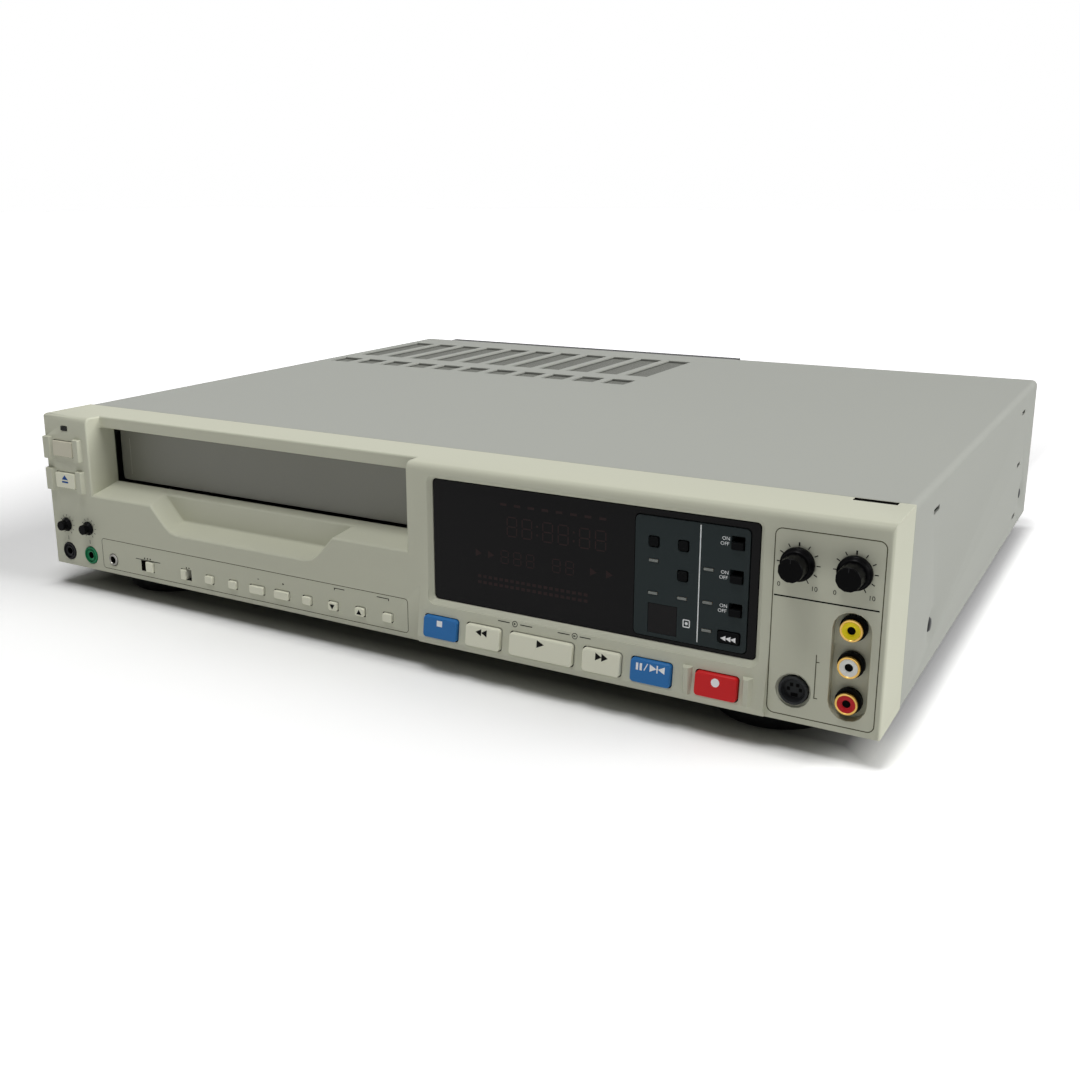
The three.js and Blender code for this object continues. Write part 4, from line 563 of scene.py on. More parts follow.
def plate(low, high, corner):
    """A rounded plate between two corners (x, y, z), its outline in the front's plane."""
    shape = bmesh.new()
    (x0, y0, z0), (x1, y1, z1) = low, high
    ring = []
    for x, z, start in ((x1, z1, 0), (x0, z1, 90), (x0, z0, 180), (x1, z0, 270)):
        middle_x = x - corner if x == x1 else x + corner
        middle_z = z - corner if z == z1 else z + corner
        for step in range(5):
            turn = math.radians(start + step * 22.5)
            spot = (middle_x + corner * math.cos(turn), y0, middle_z + corner * math.sin(turn))
            ring.append(shape.verts.new(spot))
    front = shape.faces.new(ring)
    back = bmesh.ops.extrude_face_region(shape, geom=[front], use_keep_orig=True)["geom"]
    bmesh.ops.translate(
        shape, vec=(0, y1 - y0, 0), verts=[part for part in back if isinstance(part, bmesh.types.BMVert)]
    )
    bmesh.ops.recalc_face_normals(shape, faces=shape.faces)
    return shape


sensor_dark = clouded(
    "sensor_window", colour(16, 15, 16), colour(22, 20, 21), 60, (0.1, 0.16),
    IOR=1.49, Specular_IOR_Level=0.16,
)
sensor_plate = plate((124.3, 1.75, 24.0), (136.1, 2.35, 35.9), 0.4)
rounded(placed("sensor_window", sensor_plate, sensor_dark, "case"), 0.12)

lamp_grey = clouded(
    "lamp_lens", colour(112, 116, 112), colour(132, 136, 131), 300, (0.1, 0.25), 0.1,
    detail=1, stretch=(6, 1, 1), IOR=1.5,
)
LAMP_SPOTS = (
    (126.1, 53.16), (148.26, 53.07), (126.1, 40.07), (138.09, 39.88), (148.26, 39.98), (148.26, 28.87)
)
LAMP_HALF_WIDE, LAMP_HALF_HIGH = 1.88, 0.52
for number, (lamp_x, lamp_z) in enumerate(LAMP_SPOTS, 1):
    lamp_lens = plate(
        (lamp_x - LAMP_HALF_WIDE, 1.38, lamp_z - LAMP_HALF_HIGH),
        (lamp_x + LAMP_HALF_WIDE, 1.9, lamp_z + LAMP_HALF_HIGH), 0.25,
    )
    rounded(placed(f"panel_lamp_{number}", lamp_lens, lamp_grey, "case"), 0.1)


# Power lamp: a smoked lens with fine upright ribs, moulded in acrylic and pressed from behind into a
# slot over the power key, in front of a lamp on the front board.

power_lens_finish = Finish("power_lamp_lens", IOR=1.5, Specular_IOR_Level=0.1)
ribs = power_lens_finish.add(
    "TexWave", {"wave_type": "BANDS", "bands_direction": "X"},
    {"Vector": power_lens_finish.place, "Scale": 420, "Distortion": 0},
)
# The ribs' bands of lighter and darker colour are painted light and shade on the ribs.
power_lens = power_lens_finish.feed(
    Base_Color=power_lens_finish.blend(ribs, colour(26, 26, 25), colour(56, 55, 53)),
    Roughness=ribs * 0.2 + 0.35, Normal=power_lens_finish.bump(ribs, 0.1),
)
power_plate = plate((-201.75, -0.22, 72.25), (-197.12, 0.6, 74.55), 0.3)
rounded(placed("power_lamp", power_plate, power_lens, "case"), 0.12)


# Printing of the switch panel: white pad-printed ink. It marks the switches' ends with ON and OFF,
# draws a line between them and the lamps, and frames a dot beside the lowest lamp.

white_ink = ink("white_ink", colour(238, 242, 241))
panel_marks = [stroke((144.72, 23.6), (144.72, 69.9), 0.42)]
panel_marks += framed(138.9, 141.45, 28.75, 31.6, 0.3, 0.42) + [disc(140.18, 30.2, 0.62, 14)]
panel_words = []
for switch_z in (65.1, 52.0, 38.95):
    panel_words += [
        lettered("ON", 154.6, switch_z + 0.95, 1.95, panel_face),
        lettered("OFF", 154.15, switch_z - 1.05, 1.95, panel_face),
    ]
inked("panel_printing", panel_marks, white_ink, "case", panel_face, panel_words)


# Cassette door: a flap of extruded aluminium sprayed satin grey, hinged at its top edge. A fine
# upright groove near its left end marks where the cassette's edge goes; it is drawn as a film with its shine
# painted on.

door_finish = Finish("door_paint", IOR=1.45, Metallic=0.35)
flake = door_finish.noise(2600, 2, 0.7)
door_haze = door_finish.noise(12, 2, stretch=(1, 1, 0.3))
door_paint = door_finish.feed(
    Base_Color=door_finish.blend(
        0.6, door_finish.blend(door_haze, colour(146, 146, 136), colour(156, 156, 146)),
        door_finish.blend(flake, colour(118, 118, 118), colour(138, 138, 138)), "OVERLAY",
    ),
    Roughness=flake * 0.12 + 0.36,
    Normal=door_finish.bump(flake, 0.06),
)
DOOR_MIDDLE, DOOR_FRONT = -85.25, 20.0


def hinge_pin(a, b):
    """The edges of the pins at the door's ends, on which it turns."""
    return any(abs(end.x - DOOR_MIDDLE) > 95 and end.z > 74 for end in (a, b))


dressed("cassette_door", door_paint, edge=0.35, steps=3, skip=hinge_pin)
groove_painted_shine = ink("groove_shine", colour(150, 150, 140))
inked(
    "door_groove", [stroke((-174.6, 48.2), (-174.6, 67.2), 0.32)], groove_painted_shine,
    "cassette_door", flat_at(DOOR_FRONT),
)


# Push keys: satin mouldings on sprung stems. The power, eject, row and transport keys are light grey,
# stop and pause blue, record red, and the panel's own keys black. Signs are printed on their faces.

key_plastic = moulded("key_plastic", colour(236, 236, 215), 0.42, grain=0.06, drift=0.02)
power_plastic = moulded("power_key_plastic", colour(214, 210, 190), 0.42, grain=0.06, drift=0.02)
blue_plastic = moulded("blue_plastic", colour(46, 116, 182), 0.38, grain=0.05, drift=0.03)
red_plastic = moulded("red_plastic", colour(214, 32, 35), 0.38, grain=0.05, drift=0.03)
black_plastic = moulded("black_plastic", colour(15, 16, 17), 0.38, grain=0.05, drift=0.05, specular=0.05)

key_finishes = {
    "power": (power_plastic, "key_plastic"), "stop": (blue_plastic, "blue_plastic"),
    "pause": (blue_plastic, "blue_plastic"), "record": (red_plastic, "red_plastic"),
}
PANEL_KEYS = ("input_select", "rec_mode", "edit", "fast_rewind")
TRANSPORT_KEYS = ("stop", "rewind", "play", "fast_forward", "pause", "record")
FLANGE_FRONT = 2.6


def key_back(a, b):
    """The edges of the flange and stem behind the front, which stay sharp."""
    return min(a.y, b.y) > FLANGE_FRONT


key_names = [node.removesuffix("_button") for node in frame["nodes"] if node.endswith("_button")]
for key_name in sorted(key_names):
    if key_name in PANEL_KEYS:
        dressed(key_name + "_button", black_plastic, edge=0.3, steps=3, skip=key_back)
        continue
    key_finish, key_slot = key_finishes.get(key_name, (key_plastic, "key_plastic"))
    key_edge = 0.75 if key_name in TRANSPORT_KEYS else 0.45
    dressed(key_name + "_button", key_finish, edge=key_edge, steps=3, skip=key_back)

TRANSPORT_PROUD, SMALL_PROUD, PANEL_PROUD = 1.8, 1.3, 0.5
small_face = flat_at(-SMALL_PROUD)


def transport_face(z):
    """The transport keys stand proud of the key zone and slope as it does."""
    return -KEY_SLOPE * (KEY_ZONE_TOP - z) - TRANSPORT_PROUD


def arrow(x, z, width, high, point=1):
    """A solid arrowhead, its point to the right, or to the left where point is -1."""
    tail, tip = x - point * width / 2, x + point * width / 2
    return [(tail, z - high / 2), (tip, z), (tail, z + high / 2)]


blue_ink = ink("blue_ink", colour(44, 84, 150))
light_ink = ink("light_ink", colour(255, 255, 255))
pause_or_still = [
    stroke((122.6, 9.8), (122.6, 12.6), 0.95), stroke((124.2, 9.8), (124.2, 12.6), 0.95),
    stroke((125.6, 10.0), (126.95, 12.8), 0.4), arrow(129.3, 11.4, 2.8, 2.9),
    stroke((131.0, 9.9), (131.0, 12.9), 0.55), arrow(132.7, 11.4, 2.8, 2.9, -1),
]
eject = [[(-203.2, 46.5), (-198.6, 46.5), (-200.9, 48.9)], stroke((-203.2, 45.3), (-198.6, 45.3), 0.9)]
for key_name, outlines, sign_ink, key_slot, face in (
    ("stop", [[(29.5, 10.2), (32.2, 10.2), (32.2, 12.7), (29.5, 12.7)]], light_ink, "blue_plastic",
     transport_face),
    ("rewind", [arrow(50.3, 11.4, 2.7, 3.0, -1), arrow(53.0, 11.4, 2.7, 3.0, -1)], dark_ink, "key_plastic",
     transport_face),
    ("play", [arrow(79.75, 11.6, 3.3, 3.2)], dark_ink, "key_plastic", transport_face),
    ("fast_forward", [arrow(105.9, 11.5, 2.75, 3.2), arrow(108.6, 11.5, 2.75, 3.2)], dark_ink, "key_plastic",
     transport_face),
    ("pause", pause_or_still, light_ink, "blue_plastic", transport_face),
    ("record", [disc(154.5, 10.95, 1.65, 28)], light_ink, "red_plastic", transport_face),
    ("tracking_down", [[(-30.45, 8.9), (-29.0, 6.5), (-27.55, 8.9)]], dark_ink, "key_plastic", small_face),
    ("tracking_up", [[(-15.25, 6.8), (-12.45, 6.8), (-13.85, 9.1)]], dark_ink, "key_plastic", small_face),
    ("eject", eject, blue_ink, "key_plastic", small_face),
    ("fast_rewind", [arrow(155.1 + step * 1.95, 27.3, 2.05, 2.1, -1) for step in range(3)], light_ink,
     "black_plastic", flat_at(PANEL_FRONT - PANEL_PROUD)),
):
    inked(key_name + "_sign", outlines, sign_ink, key_name + "_button", face)

# The dashes and small ringed arrows over the transport keys
zone_marks = []
for from_x, to_x in ((58.4, 64.0), (69.0, 74.6), (86.4, 91.8), (96.3, 101.2)):
    zone_marks.append(stroke((from_x, 17.3), (to_x, 17.3), 0.35))
for ring_x in (66.5, 94.1):
    zone_marks += arc(ring_x, 17.2, 1.15, 0, 360, 0.26, 16) + [arrow(ring_x, 17.2, 1.1, 0.9)]
inked("key_zone_lines", zone_marks, dark_ink, "case", zone_face)


# Slide switches: small moulded sliders, light grey under the mouth and black in the panel. Their wide
# skirts, which close the slots from behind, lie in shade, which is painted on them as a dark finish.

SKIRT_FRONT = 2.5


# The faces of a skirt behind the front get the painted shade.
def switch_skirt(face):
    return min(corner.co.y for corner in face.verts) > SKIRT_FRONT


for switch_name in ("command_mode", "tape_format"):
    dressed(switch_name + "_switch", key_plastic, edge=0.35, steps=3, painted_shade_test=switch_skirt)
for switch_name in ("power_on_play", "auto_repeat", "key_inhibit"):
    dressed(switch_name + "_switch", black_plastic, edge=0.25, steps=3)


# Rotary knobs: black satin mouldings pushed on the controls' shafts. The recording level knobs have a
# round skirt, a stepped collar and a cap with twelve flats. The small ones flare and are ribbed.

def turned(outline, x, z, steps=64):
    """Spins an outline of (radius, y) about an axis along Y at x and z, and closes it."""
    shape = bmesh.new()
    corners = [shape.verts.new((radius, y, 0)) for radius, y in outline]
    lines = [shape.edges.new(pair) for pair in zip(corners, corners[1:])]
    bmesh.ops.spin(
        shape, geom=corners + lines, cent=(0, 0, 0), axis=(0, 1, 0), angle=2 * math.pi, steps=steps,
        use_merge=True, use_duplicate=False,
    )
    bmesh.ops.remove_doubles(shape, verts=shape.verts, dist=0.001)
    bmesh.ops.recalc_face_normals(shape, faces=shape.faces)
    bmesh.ops.translate(shape, vec=(x, 0, z), verts=shape.verts)
    return shape


def joined(*shapes):
    """One shape of several, which are used up."""
    whole = bmesh.new()
    for shape in shapes:
        mesh = bpy.data.meshes.new("part")
        shape.to_mesh(mesh)
        shape.free()
        whole.from_mesh(mesh)
        bpy.data.meshes.remove(mesh)
    return whole


def faceted_cap(x, z, back, front, wide, narrow, flats):
    """A cap with flat sides: a ring of corners drawn forwards, its front edge chamfered."""
    shape = bmesh.new()
    bmesh.ops.create_circle(shape, cap_ends=True, segments=flats, radius=wide)
    bmesh.ops.rotate(shape, matrix=Matrix.Rotation(math.radians(90), 3, "X"), verts=shape.verts)
    bmesh.ops.rotate(shape, matrix=Matrix.Rotation(math.pi / flats, 3, "Y"), verts=shape.verts)
    bmesh.ops.translate(shape, vec=(0, back, 0), verts=shape.verts)
    cap = bmesh.ops.extrude_face_region(shape, geom=shape.faces[:], use_keep_orig=True)["geom"]
    front_ring = [part for part in cap if isinstance(part, bmesh.types.BMVert)]
    bmesh.ops.translate(shape, vec=(0, front - back, 0), verts=front_ring)
    bmesh.ops.scale(shape, vec=(narrow / wide, 1, narrow / wide), verts=front_ring)
    bmesh.ops.recalc_face_normals(shape, faces=shape.faces)
    bmesh.ops.translate(shape, vec=(x, 0, z), verts=shape.verts)
    return shape


charcoal_plastic = moulded("charcoal_plastic", colour(36, 36, 38), 0.35, grain=0.04, specular=0.14)
knob_plastic = moulded("knob_plastic", colour(8, 8, 9), 0.24, grain=0.02, drift=0.05, specular=0.06)
LEVEL_SKIRT = (
    (0, 12), (3, 12), (3, -0.3), (6.3, -0.3), (6.3, -2.1), (5.9, -2.6), (5.5, -2.6), (5.5, -3.5),
    (5.2, -3.8), (0, -3.8),
)
SMALL_FLARE = (
    (0, 12), (1.5, 12), (1.5, -0.3), (3.65, -0.3), (3.65, -0.8), (3.2, -1.4), (2.8, -2.0), (2.55, -2.4),
    (0, -2.4),
)


def knob(name, base, cap, edge, steps, sharp):
    """A knob of a turned base and a faceted cap, its edges rounded by the mould."""
    piece = placed(name + "_turned", joined(base, cap), knob_plastic, name, [name])
    return rounded(piece, edge, steps, sharp=sharp)


for knob_name, knob_x in LEVEL_KNOBS.items():
    skirt = turned(LEVEL_SKIRT, knob_x, LEVEL_ROW)
    cap = faceted_cap(knob_x, LEVEL_ROW, -3.7, -9.95, 4.85, 4.55, 12)
    knob(knob_name, skirt, cap, 0.4, 3, 24)
    pointer = plate((knob_x - 0.14, -9.99, LEVEL_ROW + 2.6), (knob_x + 0.14, -9.8, LEVEL_ROW + 4.1), 0.1)
    placed(knob_name + "_pointer", pointer, charcoal_plastic, knob_name)

for knob_name, knob_x in SMALL_KNOBS.items():
    flare = turned(SMALL_FLARE, knob_x, SMALL_ROW)
    cap = faceted_cap(knob_x, SMALL_ROW, -1.6, -4.6, 2.85, 2.5, 18)
    knob(knob_name, flare, cap, 0.22, 2, 16)


# Small sockets: moulded rings round the two headphone-size sockets, dark grey and green, and a
# nickel-plated nut round the control socket. Each has a stepped mouth and a near-black bore lining, the
# socket's black body with painted shade deep in the hole.

green_plastic = moulded("green_plastic", colour(22, 130, 84), 0.35, grain=0.04)
plated_steel = clouded(
    "plated_steel", colour(140, 138, 132), colour(172, 171, 166), 300, (0.15, 0.22), 0.05, Metallic=1
)
SOCKET_ROW = 7.6
MIC_X, PHONES_X, CONTROL_X = -204.0, -187.9, -171.5
SOCKET_RING = (
    (0, 12), (1.8, 12), (1.8, -0.05), (2.35, -0.35), (2.6, -0.45), (3.0, 0.25), (3.55, 0.3), (3.75, -0.45),
    (4.2, -0.5), (4.5, -0.25), (4.5, 1.4), (4.0, 1.4), (4.0, 13), (0, 13),
)
SOCKET_NUT = ((0, 12), (1.8, 12), (1.8, -0.2), (2.0, -0.5), (2.6, -0.5), (3.0, -0.1), (3.0, 13), (0, 13))
for socket_name, socket_x, socket_finish in (
    ("mic_jack", MIC_X, charcoal_plastic), ("phones_jack", PHONES_X, green_plastic)
):
    ring = turned(SOCKET_RING, socket_x, SOCKET_ROW)
    placed(socket_name + "_turned", ring, socket_finish, "case", [socket_name])
nut = turned(SOCKET_NUT, CONTROL_X, SOCKET_ROW)
placed("control_jack_turned", nut, plated_steel, "case", ["control_jack"])

# Near black of the bores and holes: the sockets' black bodies, and painted shade where only the dark of a
# hole shows.
bore_black_and_shade = clouded(
    "bore_black_and_shade", colour(9, 9, 9), colour(16, 16, 15), 500, (0.2, 0.6), Specular_IOR_Level=0.03
)
BORE_RADIUS, BORE_WALL, BORE_BACK, BORE_FLOOR = 1.82, 0.12, 11.9, 0.6
for bore_name, bore_x, front in (
    ("mic_bore", MIC_X, 0.1), ("phones_bore", PHONES_X, 0.1), ("control_bore", CONTROL_X, -0.12)
):
    inner, floor_y = BORE_RADIUS - BORE_WALL, BORE_BACK - BORE_FLOOR
    lining = turned(
        [(0, BORE_BACK), (BORE_RADIUS, BORE_BACK), (BORE_RADIUS, front), (inner, front), (inner, floor_y),
         (0, floor_y)],
        bore_x, SOCKET_ROW, 32,
    )
    placed(bore_name, lining, bore_black_and_shade, "case")


# Phono sockets: three gold-plated barrels with rolled lips in a deep oblong well, their insulators
# yellow, white and red, on black flanges. They share one bracket behind the well.

gold_plate = clouded(
    "gold_plate", colour(214, 168, 84), colour(238, 198, 116), 260, (0.1, 0.12), 0.04, Metallic=1
)
yellow_plastic = moulded("yellow_plastic", colour(255, 228, 24), 0.35, grain=0.03)
white_plastic = moulded("white_plastic", colour(240, 240, 234), 0.35, grain=0.03)
dark_red_plastic = moulded("dark_red_plastic", colour(196, 26, 36), 0.35, grain=0.03)
PHONO_X = 202.7
PHONO_SOCKETS = (
    ("red", 12.1, dark_red_plastic), ("white", 26.0, white_plastic), ("yellow", 39.9, yellow_plastic)
)
PHONO_BARREL = (
    (0, 8), (3, 8), (3, 3.7), (3.6, 3.7), (3.6, -0.35), (3.95, -0.45), (4.15, -0.7), (4.15, -1.15),
    (4.0, -1.45), (3.75, -1.58), (3.45, -1.6), (3.3, -1.45), (3.2, -0.4), (0, -0.4),
)
PHONO_CUP = (
    (0, -0.3), (1.5, -0.3), (1.5, -0.95), (1.75, -1.2), (2.7, -1.38), (3.3, -1.42), (3.3, -0.2), (0, -0.2)
)
PHONO_CONTACT = ((0, -0.35), (1.48, -0.35), (1.48, -0.75), (1.2, -0.75), (1.15, -0.5), (0, -0.5))
PHONO_COLLAR = ((3.62, 3.7), (4.85, 3.7), (4.85, 1.5), (4.5, 1.2), (3.62, 1.2), (3.62, 3.7))
barrels = [turned(PHONO_BARREL, PHONO_X, socket_z) for tint, socket_z, insert in PHONO_SOCKETS]
bracket = plate((PHONO_X - 4.9, 6.3, 7.2), (PHONO_X + 4.9, 7.5, 44.8), 1)
placed("phono_barrels", joined(bracket, *barrels), gold_plate, "case", ["line_jacks"])
for tint, socket_z, insert in PHONO_SOCKETS:
    cup = turned(PHONO_CUP, PHONO_X, socket_z)
    placed(f"phono_{tint}_insulator", cup, insert, "case")
    # The plug in the middle of each insulator is near black: painted shade for the dark of its hole.
    hole_shade_plug = turned(PHONO_CONTACT, PHONO_X, socket_z, 32)
    placed(f"phono_{tint}_contact", hole_shade_plug, bore_black_and_shade, "case")
    collar = turned(PHONO_COLLAR, PHONO_X, socket_z)
    rounded(placed(f"phono_{tint}_flange", collar, black_plastic, "case"), 0.12)


# Round video socket: a black moulding clipped from behind into a shallow bowl. It has a raised ring
# round its face, and four square pin holes and a wide keyway under them, drawn on its closed face as
# near-black patches of painted shade.

DIN_X, DIN_Z, DIN_FACE = 183.0, 12.7, 1.9
din_body = turned(
    [(0, 11), (5.4, 11), (5.4, -0.35), (5.2, -0.6), (4.75, -0.6), (4.5, -0.35), (4.4, 1.2), (4.2, 1.5),
     (4.05, DIN_FACE), (0, DIN_FACE)],
    DIN_X, DIN_Z,
)
din_plastic = moulded("din_plastic", colour(50, 52, 53), 0.4, grain=0.04, specular=0.1)
placed("s_video_jack_turned", din_body, din_plastic, "case", ["s_video_jack"])
# Each hole is a near-black patch on the face: painted shade, with no bore behind it.
PIN_HOLES = (
    (-1.15, 1.45, 0.6, 0.65), (1.15, 1.45, 0.6, 0.65), (-2.25, -0.25, 0.6, 0.65), (2.25, -0.25, 0.6, 0.65),
    (0, -2.35, 1.3, 0.7),
)
for number, (across, up, half_wide, half_high) in enumerate(PIN_HOLES, 1):
    hole = plate(
        (DIN_X + across - half_wide, 1.84, DIN_Z + up - half_high),
        (DIN_X + across + half_wide, 2.3, DIN_Z + up + half_high), 0.15,
    )
    placed(f"s_video_hole_{number}", hole, bore_black_and_shade, "case")
face_ring = turned([(3.45, 1.92), (3.85, 1.92), (3.85, 1.7), (3.45, 1.7), (3.45, 1.92)], DIN_X, DIN_Z)
placed("s_video_ring", face_ring, charcoal_plastic, "case")


# Folded cover: one pressed sheet of steel, painted in a fine-textured light grey and slotted over the
# power supply and the boards. Black screws in pressed dimples at its sides hold it to the pan.

COVER_SHADE = colour(173, 175, 168)
cover = Finish("cover_paint", IOR=1.45, Specular_IOR_Level=0.08)
orange_peel = cover.noise(900, 2, 0.6)
cloud = cover.noise(5, 3)
cover_grain = cover.blend((orange_peel - 0.5) * 0.4 + 0.5, SPECK_DARK, SPECK_LIGHT)
base_shade = cover.blend(cloud, shaded(COVER_SHADE, 0.97), COVER_SHADE)
cover_paint = cover.feed(
    Base_Color=cover.blend(0.6, base_shade, cover_grain, "OVERLAY"),
    Roughness=orange_peel * 0.12 + 0.5,
    Normal=cover.bump(orange_peel, 0.14),
)
finished_cover = dressed("top_cover", cover_paint, edge=0.18, steps=2)
DIMPLE_TURN = 24  # degrees: the dimples' gentle slopes meet the sides in a crisp line
finished_cover.data.set_sharp_from_angle(angle=math.radians(DIMPLE_TURN))

screw_black = moulded("screw_black", colour(40, 41, 42), 0.35, grain=0.03)
HALF_WIDTH, DIMPLE_DEPTH, SCREW_ROW = 215, 1.55, 17.5
SCREW_HEAD = ((0, 0), (3.1, 0), (3.1, 0.5), (2.5, 1.1), (1.2, 1.35), (0, 1.4))


def screw(side, y, z):
    """A pan head, its axis along X, seated in the cover's dimple."""
    head = turned(SCREW_HEAD, 0, 0, 32)
    bmesh.ops.rotate(head, matrix=Matrix.Rotation(math.radians(-90 * side), 3, "Z"), verts=head.verts)
    bmesh.ops.translate(head, vec=(side * (HALF_WIDTH - DIMPLE_DEPTH), y, z), verts=head.verts)
    return head


for side, side_name in ((-1, "left"), (1, "right")):
    for y, end_name in ((81, "front"), (327, "rear")):
        head_name = f"cover_screw_{side_name}_{end_name}"
        placed(head_name, screw(side, y, SCREW_ROW), screw_black, "case")


# Screen under the cover's slots: a woven grey sheet on a dark backing, fixed to the inside of the
# cover. It keeps dust and fingers out and lets warm air through.

screen = Finish("screen_grey")
weave = screen.add(
    "TexBrick", {"offset": 0},
    {"Vector": screen.place, "Scale": 1000, "Mortar Size": 0.16, "Brick Width": 0.9, "Row Height": 0.9,
     "Color1": colour(112, 114, 106), "Color2": colour(124, 126, 118), "Mortar": colour(70, 71, 66)},
)
screen_dust = screen.noise(40, 3)
screen_grey = screen.feed(
    Base_Color=screen.blend(screen_dust * 0.25, weave, colour(150, 151, 144)),
    Roughness=screen_dust * 0.1 + 0.7,
    Normal=screen.bump(screen.noise(1800, 1), 0.2),
)


def refinished(material, *nodes):
    """Gives CAD nodes whose shape is right already a better material."""
    for node in nodes:
        slots = frame["nodes"][node].data.materials
        slots.clear()
        slots.append(material)


refinished(screen_grey, "vent_screen")


# Back moulding: a dark grained plastic panel with a boxed bay, screwed to the pan. The bay holds the
# rear sockets on their plated bracket, and beside it are air slots and the gland of the mains lead.

rear_plastic = moulded("rear_plastic", colour(40, 41, 42), 0.55, grain=0.15, grain_scale=1100, drift=0.06)
refinished(rear_plastic, "rear_panel")

terminal_plate = clouded(
    "terminal_plate", colour(170, 168, 160), colour(200, 199, 194), 160, (0.2, 0.25), 0.08,
    detail=3, Metallic=0.9,
)
refinished(terminal_plate, "rear_terminals")


# Bottom pan and feet: a folded steel pan with a dark painted finish, and four round feet moulded in
# black plastic, each screwed up into the pan.

pan_paint = moulded("pan_paint", colour(30, 31, 32), 0.5, grain=0.1, drift=0.06, specular=0.1)
refinished(pan_paint, "bottom_chassis")
foot_plastic = moulded("foot_plastic", colour(24, 24, 25), 0.45, grain=0.08, drift=0.08)
for foot_name, foot_x, foot_y in (
    ("front_left_foot", -165, 38.5), ("front_right_foot", 165, 38.5),
    ("rear_left_foot", -165, 308.5), ("rear_right_foot", 165, 308.5),
):
    stem_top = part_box(foot_name)[1].z / MM - FOOT_HEIGHT
    outline = [
        (0, stem_top), (6, stem_top), (6, -0.3), (26, -0.3), (26, -1.4), (25.6, -2.0), (25.6, -4.4),
        (25.9, -4.8), (24.6, -10.9), (23.6, -11.9), (21.8, -12), (19.4, -12), (19, -11.6), (19, -10.8),
        (0, -10.8),
    ]
    foot = turned([(radius, -z) for radius, z in outline], 0, 0, 96)
    bmesh.ops.rotate(foot, matrix=Matrix.Rotation(math.radians(-90), 3, "X"), verts=foot.verts)
    bmesh.ops.translate(foot, vec=(foot_x, foot_y, 0), verts=foot.verts)
    placed(foot_name + "_turned", foot, foot_plastic, "case", [foot_name])


# Inside: circuit boards of brown paper laminate and green glass laminate, and the tape deck with its
# carriage, both of zinc-plated sheet steel. On the deck turn an aluminium head drum, a ground steel
# capstan and moulded reel tables; the pinion and the cassette holder are moulded too.

zinc = clouded(
    "zinc_steel", colour(150, 152, 153), colour(190, 192, 194), 60, (0.22, 0.28), 0.06,
    detail=3, rough=0.6, Metallic=0.9,
)
refinished(zinc, "transport_deck", "carriage_frame", "carriage_slider")


def board(name, shade, copper):
    """Lacquered laminate with rows of tracks under the lacquer."""
    finish = Finish(name, IOR=1.5)
    tracks = finish.add(
        "TexBrick", {"offset": 0.37},
        {"Vector": finish.place, "Scale": 210, "Mortar Size": 0.09, "Brick Width": 1.7, "Row Height": 0.42,
         "Color1": shade, "Color2": shaded(shade, 1.18), "Mortar": copper},
    )
    stain = finish.noise(50, 3)
    return finish.feed(
        Base_Color=finish.blend(stain * 0.3, tracks, shaded(shade, 0.7)), Roughness=stain * 0.2 + 0.4,
        Normal=finish.bump(stain, 0.1),
    )


refinished(board("board_green", colour(44, 92, 58), colour(84, 128, 74)), "main_board")
refinished(board("board_brown", colour(140, 104, 58), colour(166, 132, 84)), "front_board", "power_supply")
turned_aluminium = clouded(
    "aluminium", colour(184, 186, 188), colour(216, 218, 220), 900, (0.22, 0.16), 0.04,
    detail=3, rough=0.6, stretch=(0.05, 0.05, 1), Metallic=1,
)
refinished(turned_aluminium, "upper_drum", "lower_drum")
ground_steel = clouded(
    "capstan_steel", colour(160, 162, 164), colour(200, 202, 204), 700, (0.22, 0.15), 0.06,
    detail=3, rough=0.6, stretch=(0.1, 0.1, 1), Metallic=1,
)
refinished(ground_steel, "capstan")
refinished(moulded("reel_plastic", colour(58, 60, 62), 0.42), "supply_reel", "takeup_reel")
refinished(moulded("gear_plastic", colour(224, 222, 210), 0.45), "loading_pinion")
refinished(moulded("holder_plastic", colour(50, 51, 53), 0.5), "cassette_holder")


# Studio: a pale floor, a wide soft sun low at the right and slightly behind, a soft panel overhead in
# front and a dim sky that is brighter overhead. The camera stands where the photograph was taken from
# and sees the sky as white, and the floor as white far off and at the right, where that white is painted
# light over the case's shadow, and as grey round the case, a painted shadow.

floor_mesh = bpy.data.meshes.new("studio_floor")
floor_shape = bmesh.new()
bmesh.ops.create_grid(floor_shape, x_segments=8, y_segments=8, size=9)
floor_shape.to_mesh(floor_mesh)
floor_shape.free()
floor = bpy.data.objects.new("studio_floor", floor_mesh)
bpy.context.scene.collection.objects.link(floor)
floor_finish = Finish("studio_floor", Roughness=0.9, Specular_IOR_Level=0)
floor_cloud = floor_finish.noise(3, 2)
floor_white = floor_finish.blend(floor_cloud, colour(246, 246, 246), colour(250, 250, 250))

# As the camera sees it, the floor is brighter from FAR_START to FAR_END metres off, and past RIGHT_START,
# where the brightening is painted light over the case's shadow at its right
FAR_START, FAR_END = 0.36, 1.2
RIGHT_START, RIGHT_END = 0.19, 0.25
SEEN_NEAR, SEEN_FAR = [1.18, 1.18, 1.18, 1], [2.9, 2.9, 2.9, 1]
seen = floor_finish.add("LightPath", output=0)
distance = floor_finish.add(
    "VectorMath", {"operation": "LENGTH"}, {"Vector": floor_finish.place}, output="Value"
)
farness = floor_finish.add("MapRange", {}, {"Value": distance, "From Min": FAR_START, "From Max": FAR_END})
across = floor_finish.add("SeparateXYZ", {}, {"Vector": floor_finish.place}, output="X")
right_painted_light = floor_finish.add(
    "MapRange", {}, {"Value": across, "From Min": RIGHT_START, "From Max": RIGHT_END}
)
brightness = farness.maths("MAXIMUM", farness, right_painted_light)
pale = floor_finish.blend(seen, floor_white, floor_finish.blend(brightness, SEEN_NEAR, SEEN_FAR))
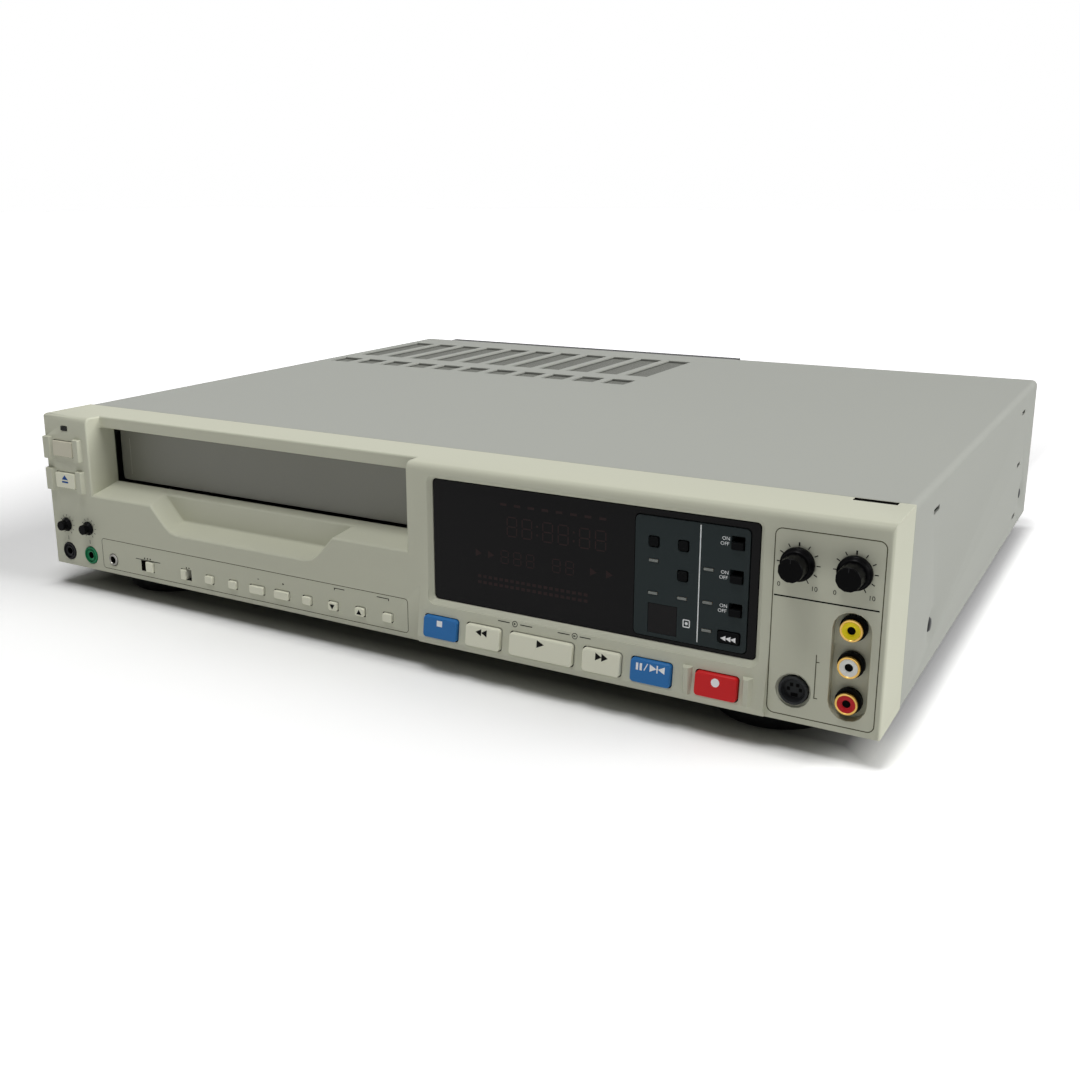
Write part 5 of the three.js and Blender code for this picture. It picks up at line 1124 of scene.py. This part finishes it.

# Under the case the floor is painted grey, fading out just past its outline: a painted shadow. The mask runs
# across the case's outline
CASE_HALF = (HALF_WIDTH * MM, FACE_BACK * MM, 0)
UNDER_START, UNDER_END = 0.008, -0.016
PAINTED_SHADOW_GREY = [0.22, 0.22, 0.22, 1]
folded = floor_finish.add("VectorMath", {"operation": "ABSOLUTE"}, {"Vector": floor_finish.place})
beside = floor_finish.add("VectorMath", {"operation": "SUBTRACT"}, {0: folded, 1: CASE_HALF})
past_side = floor_finish.add("SeparateXYZ", {}, {"Vector": beside}, output="X")
past_front = floor_finish.add("SeparateXYZ", {}, {"Vector": beside}, output="Y")
outside = past_side.maths("MAXIMUM", past_side, past_front)
under = floor_finish.add(
    "MapRange", {}, {"Value": outside, "From Min": UNDER_START, "From Max": UNDER_END}
)
floor_mesh.materials.append(floor_finish.feed(Base_Color=floor_finish.blend(under, pale, PAINTED_SHADOW_GREY)))

# The sky's strength as light rises from SKY_LOW at the horizon to SKY_HIGH overhead
SKY_LOW, SKY_HIGH = 0.01, 0.18
world = bpy.data.worlds.new("studio")
world.use_nodes = True
bpy.context.scene.world = world
sky = world.node_tree
path = sky.nodes.new("ShaderNodeLightPath")
camera_or_gloss = sky.nodes.new("ShaderNodeMath")
camera_or_gloss.operation = "MAXIMUM"
seen_white = sky.nodes.new("ShaderNodeMath")
seen_white.operation = "MAXIMUM"
sky.links.new(path.outputs["Is Camera Ray"], camera_or_gloss.inputs[0])
sky.links.new(path.outputs["Is Glossy Ray"], camera_or_gloss.inputs[1])
sky.links.new(camera_or_gloss.outputs[0], seen_white.inputs[0])
sky.links.new(path.outputs["Is Transmission Ray"], seen_white.inputs[1])
direction = sky.nodes.new("ShaderNodeTexCoord")
split = sky.nodes.new("ShaderNodeSeparateXYZ")
sky.links.new(direction.outputs["Generated"], split.inputs[0])
overhead = sky.nodes.new("ShaderNodeMapRange")
overhead.inputs["To Min"].default_value = SKY_LOW
overhead.inputs["To Max"].default_value = SKY_HIGH
sky.links.new(split.outputs["Z"], overhead.inputs["Value"])
strength = sky.nodes.new("ShaderNodeMapRange")
strength.inputs["To Max"].default_value = 1
sky.links.new(seen_white.outputs[0], strength.inputs["Value"])
sky.links.new(overhead.outputs[0], strength.inputs["To Min"])
sky.links.new(strength.outputs[0], sky.nodes["Background"].inputs["Strength"])
sky.nodes["Background"].inputs["Color"].default_value = (1, 1, 1, 1)

SUN_SIDE = Vector((0.80, 0.17, 0.45))
sun = bpy.data.lights.new("soft_sun", "SUN")
sun.energy = 2.0
sun.angle = math.radians(30)
sun_place = bpy.data.objects.new("soft_sun", sun)
bpy.context.scene.collection.objects.link(sun_place)
sun_place.rotation_euler = SUN_SIDE.to_track_quat("Z", "Y").to_euler()

PANEL_SPOT, PANEL_AIM = (-0.02, -0.46, 1.5), Vector((0, -0.1, 0.04))
panel = bpy.data.lights.new("soft_panel", "AREA")
panel.size = 0.5
panel.energy = 10.2
panel_place = bpy.data.objects.new("soft_panel", panel)
bpy.context.scene.collection.objects.link(panel_place)
panel_place.location = PANEL_SPOT
panel_place.rotation_euler = (panel_place.location - PANEL_AIM).to_track_quat("Z", "Y").to_euler()

# The camera's turn, lens and shift were solved from the case's edges in the photograph
AZIMUTH, ELEVATION, ROLL = (math.radians(angle) for angle in (30.5613, 14.6402, -0.36825))
CAMERA_SPOT = (0.297941, -0.581529, 0.203522)
backward = Vector((
    math.sin(AZIMUTH) * math.cos(ELEVATION), -math.cos(AZIMUTH) * math.cos(ELEVATION), math.sin(ELEVATION)
))
level = (-backward).cross(Vector((0, 0, 1))).normalized()
upward = level.cross(-backward)
right = level * math.cos(ROLL) + upward * math.sin(ROLL)
top = upward * math.cos(ROLL) - level * math.sin(ROLL)
lens = bpy.data.cameras.new("camera")
lens.sensor_width = 36
lens.lens = 39.793
lens.shift_x = 0.03311
lens.shift_y = -0.03886
lens.clip_start = 0.01
lens.clip_end = 60
camera = bpy.data.objects.new("camera", lens)
bpy.context.scene.collection.objects.link(camera)
camera.matrix_world = Matrix((right, top, backward)).transposed().to_4x4()
camera.location = CAMERA_SPOT
bpy.context.scene.camera = camera

bpy.context.scene.view_settings.view_transform = "Standard"
